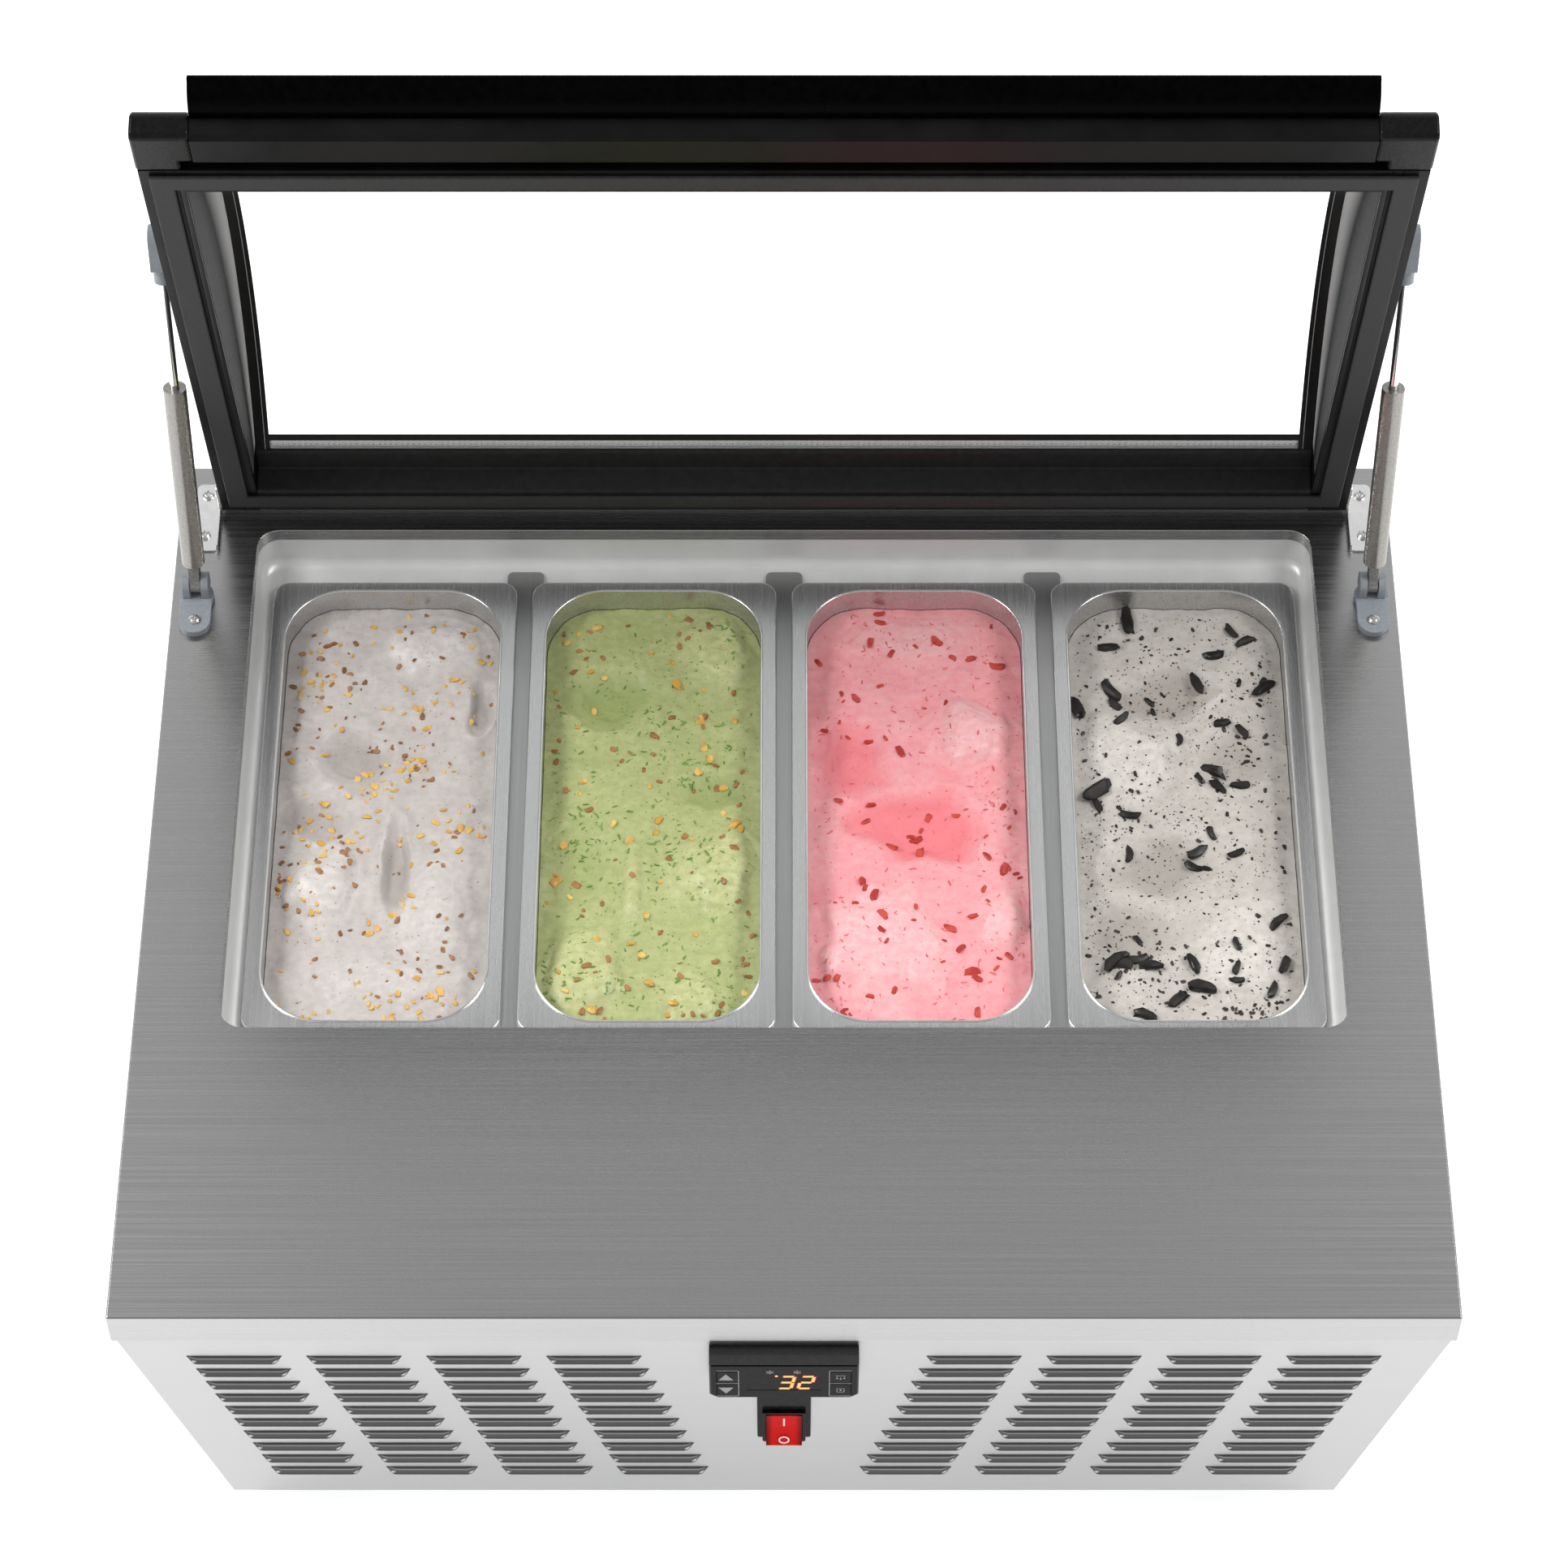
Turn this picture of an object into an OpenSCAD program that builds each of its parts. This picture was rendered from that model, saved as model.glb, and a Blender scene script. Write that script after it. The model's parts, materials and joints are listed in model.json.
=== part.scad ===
// Countertop display freezer for scooped ice cream. A tapered sheet-steel cabinet holds a cold well
// with four pans, and a curved double-glazed lid on two gas struts stands open above it.
// +Z is up and the front faces -Y. The origin is the middle of the object's footprint on the counter.

/* [Cabinet] */
// Width of the top plate
plate_w = 817; // [812:1:826]
// Depth of the top plate, front to back
plate_d = 658; // [652:1:662]
// Height of the top plate above the counter
body_h = 250; // [244:1:262]
// Height of the turned-down lip round the top plate
lip_h = 28; // [20:1:32]
// Width of the front panel along its bottom edge
panel_foot_w = 705; // [700:1:716]
// Height of the rubber feet
feet_h = 20; // [18:1:24]
// Thickness of the cabinet's sheet steel
sheet = 1.5; // [1:0.1:2]

/* [Louvres] */
// Number of louvres in one column
louvre_rows = 10; // [4:1:10]
// Number of columns on each side of the controls
louvre_columns = 4; // [2:1:4]
// Length of one louvre
louvre_w = 59.8; // [40:0.1:62]
// Distance from one column to the next
column_pitch = 73.25; // [70:0.05:75]
// Distance from one row to the next
row_pitch = 16.24; // [15:0.01:17]

/* [Well] */
// Width of the opening in the top plate
opening_w = 709; // [704:1:714]
// Length of the opening, front to back
opening_d = 396; // [394:1:400]
// Distance from the plate's front edge to the opening
opening_front = 207.5; // [204:0.5:210]
// Depth of the ledge below the top plate
ledge_drop = 35; // [34:0.5:38]
// Depth of the tank's floor below the top plate
tank_drop = 168; // [160:1:172]

/* [Pans] */
// Width of a pan over its rim
pan_w = 165; // [162:0.5:167]
// Length of a pan over its rim
pan_l = 360; // [356:0.5:362]
// Depth of a pan
pan_h = 120; // [80:1:124]
// Distance from one pan to the next
pan_pitch = 175; // [172:0.5:176]
// Depth of the pans' rims below the top plate
rim_drop = 30; // [28:0.5:31]
// Depth of the ice cream's level below a pan's rim
fill_drop = 20; // [8:1:40]

/* [Lid] */
// Width of the lid over its side rails
lid_w = 758; // [750:1:760]
// Angle at which the lid stands open
lid_open = 77; // [60:1:78]
// Inner radius of the glass over the back of the lid
glass_r = 460; // [458:1:462]
// Inner radius of the glass over the front of the lid
front_glass_r = 270; // [268:1:272]
// Thickness of one pane
pane = 4; // [3:0.5:4]
// Gap between the two panes
pane_gap = 6; // [5:0.5:6]

/* [Gas struts] */
// Outside diameter of a strut's tube
tube_d = 15; // [13:0.5:15]
// Diameter of a strut's rod
rod_d = 6; // [5:0.5:7]
// Distance of the struts from the middle of the object
strut_x = 391.5; // [391:0.1:393]

/* [Controls] */
// Width of the temperature controller
controller_w = 91.4; // [86:0.1:96]
// Width of the switch's red rocker
rocker_w = 22.5; // [20:0.1:23]
// Angle through which the rocker tips from one side to the other
rocker_tip = 20.7; // [16:0.1:22]

/* [Cooling unit] */
// Diameter of the compressor's shell
compressor_d = 118; // [90:1:120]
// Radius of the condenser fan
fan_r = 58; // [40:1:60]
// Number of fan blades
fan_blades = 5; // [3:1:6]

/* [Hidden] */

fine = 96;       // facets for circles that are drawn large
round_fn = 48;   // facets for small circles
gap = 0.3;       // clearance between neighbouring pieces

// The whole object, lid open, reaches from 9.5 in front of the plate's front edge to 663.5 behind it,
// so this puts the middle of that reach at the origin.
front_y = -327;

// A place y behind the plate's front edge, and a height d below the plate's top face.
function back(y) = front_y + y;
function down(d) = body_h - d;

// Front panel and sloping sides
panel_y = 3;                                   // outer face of the front panel, behind the plate's front edge
panel_drop = body_h - feet_h + 1.3;            // bottom edge of the front panel, below the plate's top
panel_half = plate_w / 2 - sheet - gap;        // half width of the panels under the lip
side_slope = (panel_half - panel_foot_w / 2) / (panel_drop - lip_h);
function side_x(d) = panel_half - max(0, d - lip_h) * side_slope;
back_face = plate_d - 3;                       // outer face of the back panel

// Louvres
louvre_x = 365.8;                              // outer end of the top row's first louvre
louvre_drop = 55.2;                            // middle of the top row, below the plate's top
louvre_out = 3;
louvre_h = 6;
hood_wall = 1;
hood_top_wall = 1.4;
slot_h = 4.4;                                  // the slot behind a hood, with its middle a little lower
slot_low = 0.8;
controller_hole = [72.6, 34.6];
controller_mid = 62;
switch_hole = [25.6, 36.8];

// Well
well_mid = opening_front + opening_d / 2;
opening_r = 15;
collar_h = 10;
tank_w = 674;
tank_d = 348;
liner = 1;

// Pans
pan_mid = 403;
pan_mouth_w = 144.6;
pan_mouth_l = 344;
pan_wall = 1;
rim_h = 3;

// Divider bars
bar_w = 25;
bar_end = 191;         // from the middle of a bar to its end

// Lid: u runs from its back edge to its front, v runs out from the frame's inner face
hinge_u = 6;
hinge_v = 12;
hinge_y = back(626);
hinge_z = body_h + 15;
frame_w = 26;                                  // width of a side rail
frame_half = lid_w / 2 - frame_w;
glazing = 2 * pane + pane_gap;
rear_c = [285, 88.5 - glass_r];                // centre of the rear arc
join_a = 2.87;                                 // angle at which the two arcs meet
front_c = rear_c + (glass_r - front_glass_r) * [-sin(join_a), cos(join_a)];
rear_a = 31;                                   // angle of the glass's rear edge
front_a = 42;                                  // angle of the glass's front edge
rail_front = 460;                              // where the side rails end
dome_steps = 16;                               // flats that each of the two arcs is made of
seal_h = 2.7;

// Gas struts: the lower pivot, and the upper pivot with the lid open
foot_y = back(549);
foot_z = body_h + 13;
end_y = back(608);
end_z = body_h + 290;
strut_len = sqrt(pow(end_y - foot_y, 2) + pow(end_z - foot_z, 2));
strut_a = atan2(end_z - foot_z, end_y - foot_y);
tube_start = 18;
tube_end = 164;
gland_l = 13;
rod_start = 124;
pivot_r = 2.5;
running = 0.05;        // radial clearance of a turning fit

// Controls, measured down from the plate's top and back from its front edge
controller_top = 39.7;
controller_foot = 84;
fascia_y = -8;
key_w = 12.6;
key_h = 14.6;
key_x = 34.6;
switch_mid = 133.3;
rocker_half = 15;
rocker_y = 3;

// Cooling unit
tray_z = feet_h + sheet;
tray_flange = 13;
foot_x = 290;          // a rubber foot, from the middle of the object
foot_ys = [60, 600];   // the front and the rear feet, behind the plate's front edge
compressor_x = -215;
compressor_y = 88;
compressor_z = tray_z + 12;
compressor_h = 135;
fan_x = 165;
fan_y = 88;
fan_z = 104;
shroud_x = 150;
shroud_half = 75;
condenser_x = 190;
condenser_d = 42;

// ---- shared shapes ----

// A rectangle with round corners, centred.
module round_rect(w, d, r) {
    square([w - 2 * r, d], center = true);
    square([w, d - 2 * r], center = true);
    for (x = [-1, 1], y = [-1, 1])
        translate([x * (w / 2 - r), y * (d / 2 - r)]) circle(r, $fn = round_fn);
}

// Extrudes a (y, z) outline along X from x0 to x1.
module along_x(x0, x1) {
    translate([x0, 0, 0]) rotate([90, 0, 90]) linear_extrude(x1 - x0) children();
}

// Extrudes an (x, z) outline along Y from y0 to y1.
module along_y(y0, y1) {
    translate([0, y1, 0]) rotate([90, 0, 0]) linear_extrude(y1 - y0) children();
}

// Its children and their mirror image on the other side of the object.
module both_sides() {
    children();
    mirror([1, 0, 0]) children();
}

// A box between two corners.
module box(low, high) {
    translate(low) cube(high - low);
}

// A pipe of radius r through points, with a ball at each bend.
module pipe(points, r) {
    for (i = [0 : len(points) - 2]) {
        run = points[i + 1] - points[i];
        translate(points[i])
            rotate([0, acos(run[2] / norm(run)), atan2(run[1], run[0])])
                cylinder(h = norm(run), r = r, $fn = round_fn);
    }
    for (i = [1 : len(points) - 2])
        translate(points[i]) sphere(r, $fn = round_fn);
}

// The outline of the cabinet between two depths, seen from the front, this far inside the side panels.
module cabinet_outline(top, foot, inset) {
    polygon([
        [-side_x(foot) + inset, down(foot)], [side_x(foot) - inset, down(foot)],
        [panel_half - inset, down(max(top, lip_h))], [panel_half - inset, down(top)],
        [-panel_half + inset, down(top)], [-panel_half + inset, down(max(top, lip_h))]
    ]);
}

// ---- cabinet ----

module top_plate() {
    color("silver") {
        difference() {
            box([-plate_w / 2, back(0), down(lip_h)], [plate_w / 2, back(plate_d), body_h]);
            box([-plate_w / 2 + sheet, back(sheet), down(lip_h + 1)],
                [plate_w / 2 - sheet, back(plate_d - sheet), down(sheet)]);
            translate([0, back(well_mid), down(lip_h + 1)])
                linear_extrude(lip_h + 2) round_rect(opening_w, opening_d, opening_r);
        }
        translate([0, back(well_mid), down(collar_h)]) linear_extrude(collar_h) difference() {
            round_rect(opening_w + 2 * sheet, opening_d + 2 * sheet, opening_r + sheet);
            round_rect(opening_w, opening_d, opening_r);
        }
    }
}

// Where each louvre of the right-hand bank starts and how high its middle is.
function louvre_at(column, row) = [
    louvre_x - column * column_pitch - row * row_pitch * side_slope - louvre_w / 2,
    down(louvre_drop + row * row_pitch)
];

module louvre_hood() {
    along_x(-louvre_w / 2, louvre_w / 2) polygon([
        [0, louvre_h / 2], [-louvre_out, -louvre_h / 4], [-louvre_out, -louvre_h / 2],
        [-louvre_out + hood_wall, -louvre_h / 2], [-louvre_out + hood_wall, -louvre_h / 4],
        [0, louvre_h / 2 - hood_top_wall]
    ]);
}

module front_panel() {
    color("gainsboro") {
        along_y(back(panel_y), back(panel_y + sheet)) difference() {
            cabinet_outline(sheet + gap, panel_drop, 0);
            for (side = [-1, 1], column = [0 : louvre_columns - 1], row = [0 : louvre_rows - 1])
                translate([side * louvre_at(column, row)[0], louvre_at(column, row)[1] - slot_low])
                    square([louvre_w - 2 * hood_wall, slot_h], center = true);
            translate([0, down(controller_mid)]) square(controller_hole, center = true);
            translate([0, down(switch_mid)]) square(switch_hole, center = true);
        }
        for (side = [-1, 1], column = [0 : louvre_columns - 1], row = [0 : louvre_rows - 1])
            translate([side * louvre_at(column, row)[0], back(panel_y), louvre_at(column, row)[1]])
                louvre_hood();
    }
}

module side_panel() {
    color("silver") along_y(back(panel_y + sheet), back(back_face - sheet)) {
        foot = panel_drop - 6;
        polygon([
            [panel_half, down(sheet + gap)], [panel_half, down(lip_h)], [side_x(foot), down(foot)],
            [side_x(foot) - sheet, down(foot)], [panel_half - sheet, down(lip_h)],
            [panel_half - sheet, down(sheet + gap)]
        ]);
    }
}

module side_panel_left() { mirror([1, 0, 0]) side_panel(); }
module side_panel_right() { side_panel(); }

gland_x = 290;
gland_drop = 205;

module back_panel() {
    vents = 5;           // vents on each side of the middle one
    vent_pitch = 26;
    color("silver") along_y(back(back_face - sheet), back(back_face)) difference() {
        cabinet_outline(sheet + gap, panel_drop, 0);
        for (i = [-vents : vents])
            translate([i * vent_pitch, down(70)]) round_rect(8, 60, 3.9);
        translate([gland_x, down(gland_drop)]) circle(8, $fn = round_fn);
    }
}

module base_tray() {
    half = panel_foot_w / 2 - 4;
    low_y = back(panel_y + sheet);
    high_y = back(back_face - sheet);
    stud_hole = 4.1;
    color("lightgray") difference() {
        box([-half, low_y, feet_h], [half, high_y, feet_h + tray_flange]);
        box([-half + sheet, low_y + sheet, tray_z],
            [half - sheet, high_y - sheet, feet_h + tray_flange + 1]);
        for (x = [-foot_x, foot_x], y = foot_ys)
            translate([x, back(y), feet_h - 1]) cylinder(h = sheet + 2, r = stud_hole, $fn = round_fn);
    }
}

module rubber_feet() {
    color("#222222") for (x = [-foot_x, foot_x], y = foot_ys)
        translate([x, back(y), 0]) rotate_extrude($fn = round_fn) polygon([
            [0, 3], [8, 3], [9, 0], [19, 0], [21, 2], [18, feet_h], [0, feet_h]
        ]);
}

// ---- cold well ----

module well_liner() {
    depth = tank_drop - ledge_drop;
    color("whitesmoke") translate([0, back(well_mid), 0]) {
        translate([0, 0, down(ledge_drop)]) linear_extrude(ledge_drop - collar_h) difference() {
            round_rect(opening_w + 2 * liner, opening_d + 2 * liner, opening_r + liner);
            round_rect(opening_w, opening_d, opening_r);
        }
        translate([0, 0, down(ledge_drop + liner)]) linear_extrude(liner) difference() {
            round_rect(opening_w + 2 * liner, opening_d + 2 * liner, opening_r + liner);
            translate([0, pan_mid - well_mid]) round_rect(tank_w, tank_d, opening_r);
        }
    }
    color("whitesmoke") translate([0, back(pan_mid), 0]) {
        translate([0, 0, down(tank_drop)]) linear_extrude(depth - liner) difference() {
            round_rect(tank_w + 2 * liner, tank_d + 2 * liner, opening_r + liner);
            round_rect(tank_w, tank_d, opening_r);
        }
        translate([0, 0, down(tank_drop + liner)])
            linear_extrude(liner) round_rect(tank_w + 2 * liner, tank_d + 2 * liner, opening_r + liner);
    }
}

foam_front = 172;
foam_back = 640;

module foam_insulation() {
    foam_foot = body_h - feet_h - tray_flange - gap;
    channel = 10;
    color("khaki") difference() {
        along_y(back(foam_front), back(foam_back)) cabinet_outline(sheet + gap, foam_foot, sheet + gap);
        translate([0, back(well_mid), down(ledge_drop + liner + gap)])
            linear_extrude(ledge_drop + 10)
                round_rect(opening_w + 2 * sheet + 2 * gap, opening_d + 2 * sheet + 2 * gap, opening_r);
        translate([0, back(pan_mid), down(tank_drop + liner)])
            linear_extrude(tank_drop + 10)
                round_rect(tank_w + 2 * channel, tank_d + 2 * channel, opening_r + channel);
    }
}

// Loops of tube round the tank, joined by risers.
module evaporator_coil() {
    tube_r = 3.5;
    bend = 20;
    half_x = tank_w / 2 + liner + 4.5;
    half_y = tank_d / 2 + liner + 4.5;
    loops = 4;
    loop_pitch = 27;
    lowest = 155;
    riser_x = 200;
    color("peru") translate([0, back(pan_mid), 0]) for (i = [0 : loops - 1]) {
        translate([0, 0, down(lowest - i * loop_pitch)]) {
            for (y = [-1, 1])
                translate([-half_x + bend, y * half_y, 0]) rotate([0, 90, 0])
                    cylinder(h = 2 * (half_x - bend), r = tube_r, $fn = round_fn);
            for (x = [-1, 1])
                translate([x * half_x, -half_y + bend, 0]) rotate([-90, 0, 0])
                    cylinder(h = 2 * (half_y - bend), r = tube_r, $fn = round_fn);
            for (turn = [0 : 3])
                rotate([0, 0, turn * 90])
                    translate([(turn % 2 == 0 ? half_x : half_y) - bend,
                               (turn % 2 == 0 ? half_y : half_x) - bend, 0])
                        rotate_extrude(angle = 90, $fn = fine)
                            translate([bend, 0]) circle(tube_r, $fn = round_fn);
        }
        if (i < loops - 1)
            translate([(i % 2 == 0 ? -1 : 1) * riser_x, half_y, down(lowest - i * loop_pitch)])
                cylinder(h = loop_pitch, r = tube_r - 0.5, $fn = round_fn);
    }
}

module divider_bars() {
    flange_h = 1.7;
    web_h = 14;
    bar_top = down(ledge_drop - flange_h);
    color("darkgray") for (i = [-1 : 1]) translate([i * pan_pitch, back(pan_mid), 0]) {
        translate([0, 0, bar_top - flange_h]) linear_extrude(flange_h) round_rect(bar_w, 2 * bar_end, 4);
        box([-1, -tank_d / 2 + 2, bar_top - flange_h - web_h], [1, tank_d / 2 - 2, bar_top - flange_h]);
    }
}

// ---- pans ----

module pan(i) {
    top = down(rim_drop);
    color("lightgray") translate([(i - 2.5) * pan_pitch, back(pan_mid), 0]) {
        translate([0, 0, top - 1]) linear_extrude(1) difference() {
            round_rect(pan_w, pan_l, 11.5);
            round_rect(pan_mouth_w, pan_mouth_l, 40);
        }
        translate([0, 0, top - rim_h]) linear_extrude(rim_h) difference() {
            round_rect(pan_w, pan_l, 11.5);
            round_rect(pan_w - 2.4, pan_l - 2.4, 10.3);
        }
        translate([0, 0, top - pan_h]) linear_extrude(pan_h - 0.5) difference() {
            round_rect(pan_mouth_w + 2 * pan_wall, pan_mouth_l + 2 * pan_wall, 40 + pan_wall);
            round_rect(pan_mouth_w, pan_mouth_l, 40);
        }
        translate([0, 0, top - pan_h])
            linear_extrude(pan_wall) round_rect(pan_mouth_w + 2 * pan_wall, pan_mouth_l + 2 * pan_wall, 41);
    }
}

module ice_cream(i, flavour) {
    color(flavour) translate([(i - 2.5) * pan_pitch, back(pan_mid), down(rim_drop + pan_h - pan_wall)])
        linear_extrude(pan_h - pan_wall - fill_drop)
            round_rect(pan_mouth_w - 2 * gap, pan_mouth_l - 2 * gap, 39.7);
}

module pan_1() { pan(1); }
module pan_2() { pan(2); }
module pan_3() { pan(3); }
module pan_4() { pan(4); }
module ice_cream_1() { ice_cream(1, "gainsboro"); }
module ice_cream_2() { ice_cream(2, "darkkhaki"); }
module ice_cream_3() { ice_cream(3, "lightpink"); }
module ice_cream_4() { ice_cream(4, "antiquewhite"); }

// ---- cooling unit ----

module compressor() {
    r = compressor_d / 2;
    shoulder = 24;
    seam_h = 4;
    seam_out = 2;
    color("#2b2b2b") translate([compressor_x, back(compressor_y), compressor_z]) {
        rotate_extrude($fn = fine) union() {
            translate([0, shoulder]) square([r, compressor_h - 2 * shoulder]);
            intersection() {
                union() for (y = [shoulder, compressor_h - shoulder])
                    translate([r - shoulder, y]) circle(shoulder, $fn = fine);
                square([r, compressor_h]);
            }
            square([r - shoulder, compressor_h]);
        }
        translate([0, 0, compressor_h / 2]) cylinder(h = seam_h, r = r + seam_out, $fn = fine);
    }
}

module compressor_mounts() {
    plate_half_x = 66;
    plate_half_y = 56;
    grommet_x = plate_half_x - 9;
    grommet_y = plate_half_y - 9;
    grommet_hole = 5;
    translate([compressor_x, back(compressor_y), tray_z]) {
        color("dimgray") difference() {
            box([-plate_half_x, -plate_half_y, 9], [plate_half_x, plate_half_y, 12]);
            for (x = [-grommet_x, grommet_x], y = [-grommet_y, grommet_y])
                translate([x, y, 8]) cylinder(h = 5, r = grommet_hole, $fn = round_fn);
        }
        color("black") for (x = [-grommet_x, grommet_x], y = [-grommet_y, grommet_y])
            translate([x, y, 0]) rotate_extrude($fn = round_fn)
                polygon([[0, 0], [8, 0], [8, 9], [4.9, 9], [4.9, 12], [7, 12], [7, 15], [0, 15]]);
    }
}

module condenser_coil() {
    fins = 15;
    fin_pitch = 10;
    fin = 0.8;
    tube_r = 4;
    tube_pitch = 30;
    color("silver") translate([condenser_x, back(fan_y), fan_z]) {
        for (i = [0 : fins - 1])
            translate([0, (i - (fins - 1) / 2) * fin_pitch - fin / 2, -shroud_half])
                cube([condenser_d, fin, 2 * shroud_half]);
        for (x = [11, 31], i = [-2 : 2])
            translate([x, -shroud_half, i * tube_pitch]) rotate([-90, 0, 0])
                cylinder(h = 2 * shroud_half, r = tube_r, $fn = round_fn);
    }
}

module fan_shroud() {
    inner = shroud_half - 2;
    ring_r = fan_r + 7;
    ring_l = 25;
    color("#303030") translate([0, back(fan_y), fan_z]) difference() {
        union() {
            difference() {
                box([shroud_x, -shroud_half, -shroud_half], [condenser_x, shroud_half, shroud_half]);
                box([shroud_x + 3, -inner, -inner], [condenser_x + 1, inner, inner]);
            }
            translate([shroud_x, 0, 0]) rotate([0, 90, 0]) cylinder(h = ring_l, r = ring_r + 2, $fn = fine);
        }
        translate([shroud_x - 1, 0, 0]) rotate([0, 90, 0]) cylinder(h = ring_l + 5, r = ring_r, $fn = fine);
    }
}

shaft_r = 3;

module fan_motor() {
    motor_l = 38;
    motor_r = 26;
    shaft_depth = 32;
    color("#505050") translate([0, back(fan_y), fan_z]) difference() {
        union() {
            translate([shroud_x - motor_l, 0, 0]) rotate([0, 90, 0])
                cylinder(h = motor_l, r = motor_r, $fn = fine);
            for (z = [-1, 1])
                box([shroud_x - 3, -shroud_half, z * 16 - 5], [shroud_x, shroud_half, z * 16 + 5]);
        }
        translate([shroud_x - shaft_depth, 0, 0]) rotate([0, 90, 0])
            cylinder(h = shaft_depth + 8, r = shaft_r + running, $fn = round_fn);
    }
}

module fan_blade() {
    pitch = 28;
    reach = 100;
    half_a = 22;
    hub_r = 16;
    hub_h = 16;
    shaft_l = 45;
    vane = 1.5;
    color("#d8d8d8") translate([fan_x, back(fan_y), fan_z]) rotate([0, 90, 0]) {
        translate([0, 0, -hub_h / 2]) cylinder(h = hub_h, r = hub_r, $fn = fine);
        translate([0, 0, -shaft_l]) cylinder(h = shaft_l, r = shaft_r, $fn = round_fn);
        for (i = [0 : fan_blades - 1]) rotate([0, 0, i * 360 / fan_blades]) rotate([pitch, 0, 0])
            translate([0, 0, -vane / 2]) linear_extrude(vane) intersection() {
                difference() {
                    circle(fan_r, $fn = fine);
                    circle(12, $fn = round_fn);
                }
                polygon([[0, 0], reach * [cos(half_a), -sin(half_a)], reach * [cos(half_a), sin(half_a)]]);
            }
    }
}

drier_y = 150;
drier_z = 50;

module filter_drier() {
    color("peru") translate([40, back(drier_y), drier_z]) rotate([0, 90, 0])
        rotate_extrude($fn = round_fn)
            polygon([[0, 0], [4, 0], [10, 8], [10, 57], [4, 65], [0, 65]]);
}

module refrigerant_lines() {
    line_r = 2.5;
    over_z = down(60);
    drier_end = 105;
    color("peru") {
        pipe([
            [-200, back(compressor_y), compressor_z + compressor_h], [-200, back(compressor_y), over_z],
            [-200, back(140), over_z], [211, back(140), over_z], [211, back(140), fan_z + shroud_half]
        ], line_r);
        pipe([
            [drier_end, back(drier_y), drier_z], [120, back(drier_y), drier_z],
            [120, back(167.3), drier_z], [242, back(167.3), drier_z],
            [242, back(drier_y), drier_z], [condenser_x + condenser_d, back(drier_y), drier_z]
        ], line_r);
        pipe([
            [40, back(drier_y), drier_z], [28, back(drier_y), drier_z], [28, back(foam_front), drier_z]
        ], line_r);
        pipe([
            [-140, back(foam_front), 130], [-140, back(158), 130], [compressor_x, back(158), 130],
            [compressor_x, back(compressor_y + compressor_d / 2), 130]
        ], line_r);
    }
}

module electrical_box() {
    color("dimgray") {
        box([-110, back(90), tray_z], [-20, back(165), 96]);
        box([-112, back(88), 96], [-18, back(167), 99]);
    }
}

module cord_gland() {
    color("black") translate([gland_x, back(back_face + 8), down(gland_drop)]) rotate([90, 0, 0])
        rotate_extrude($fn = round_fn)
            polygon([[4.2, 0], [8.5, 0], [11, 5], [11, 8], [7.9, 8], [7.9, 9.5], [9.5, 9.5], [9.5, 12],
                     [7, 14], [4.2, 14]]);
}

// ---- controls ----

module controller_housing() {
    half = controller_w / 2;
    color("#303030") difference() {
        union() {
            difference() {
                along_x(-half, half) polygon([
                    [back(panel_y), down(controller_top)], [back(-3.4), down(controller_top)],
                    [back(fascia_y), down(controller_top + 3.4)], [back(fascia_y), down(controller_foot)],
                    [back(panel_y), down(controller_foot)]
                ]);
                for (x = [-1, 1]) translate([x * half, 0, down(controller_foot)]) rotate([0, 45, 0])
                    cube([5, 1000, 5], center = true);
            }
            box([-36, back(panel_y), down(79)], [36, back(50), down(45)]);
        }
        box([-33, back(fascia_y - 1), down(76)], [33, back(48), down(50)]);
        for (x = [-1, 1], z = [0, 1])
            box([x * key_x - 7, back(fascia_y - 1), down(81 - z * 16.3)],
                [x * key_x + 7, back(-4), down(65.4 - z * 16.3)]);
    }
}

module controller_fascia() {
    color("#1c1c1c") along_y(back(fascia_y - 1), back(fascia_y)) difference() {
        half = controller_w / 2 - 1;
        polygon([
            [-half, down(controller_foot - 5)], [-half + 4, down(controller_foot - 0.8)],
            [half - 4, down(controller_foot - 0.8)], [half, down(controller_foot - 5)],
            [half, down(controller_top + 4)], [-half, down(controller_top + 4)]
        ]);
        for (x = [-1, 1], d = [57.2, 73.2])
            translate([x * key_x, down(d)]) square([key_w + 2 * gap, key_h + 2 * gap], center = true);
        translate([0, down(64)]) square([46, 20], center = true);
    }
}

module controller_board() {
    color("darkgreen") box([-32.5, back(-3), down(75.5)], [32.5, back(-1.4), down(50.5)]);
    color("#301010") box([-22.7, back(fascia_y - 0.6), down(73.7)], [22.7, back(-3), down(54.3)]);
}

// Key caps stand a little proud of the fascia and travel into the housing.
module key(x, d) {
    color("#2a2a2a") translate([x, back(fascia_y - 1.4), down(d)])
        box([-key_w / 2, 0, -key_h / 2], [key_w / 2, 3, key_h / 2]);
}

module key_up() { key(-key_x, 57.2); }
module key_down() { key(-key_x, 73.2); }
module key_defrost() { key(key_x, 57.2); }
module key_set() { key(key_x, 73.2); }

module switch_bracket() {
    color("#262626") along_y(back(panel_y - 4), back(panel_y)) difference() {
        translate([0, down(117.7)]) round_rect(33.4, 67, 1.5);
        translate([0, down(switch_mid)]) square(switch_hole, center = true);
    }
}

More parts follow.
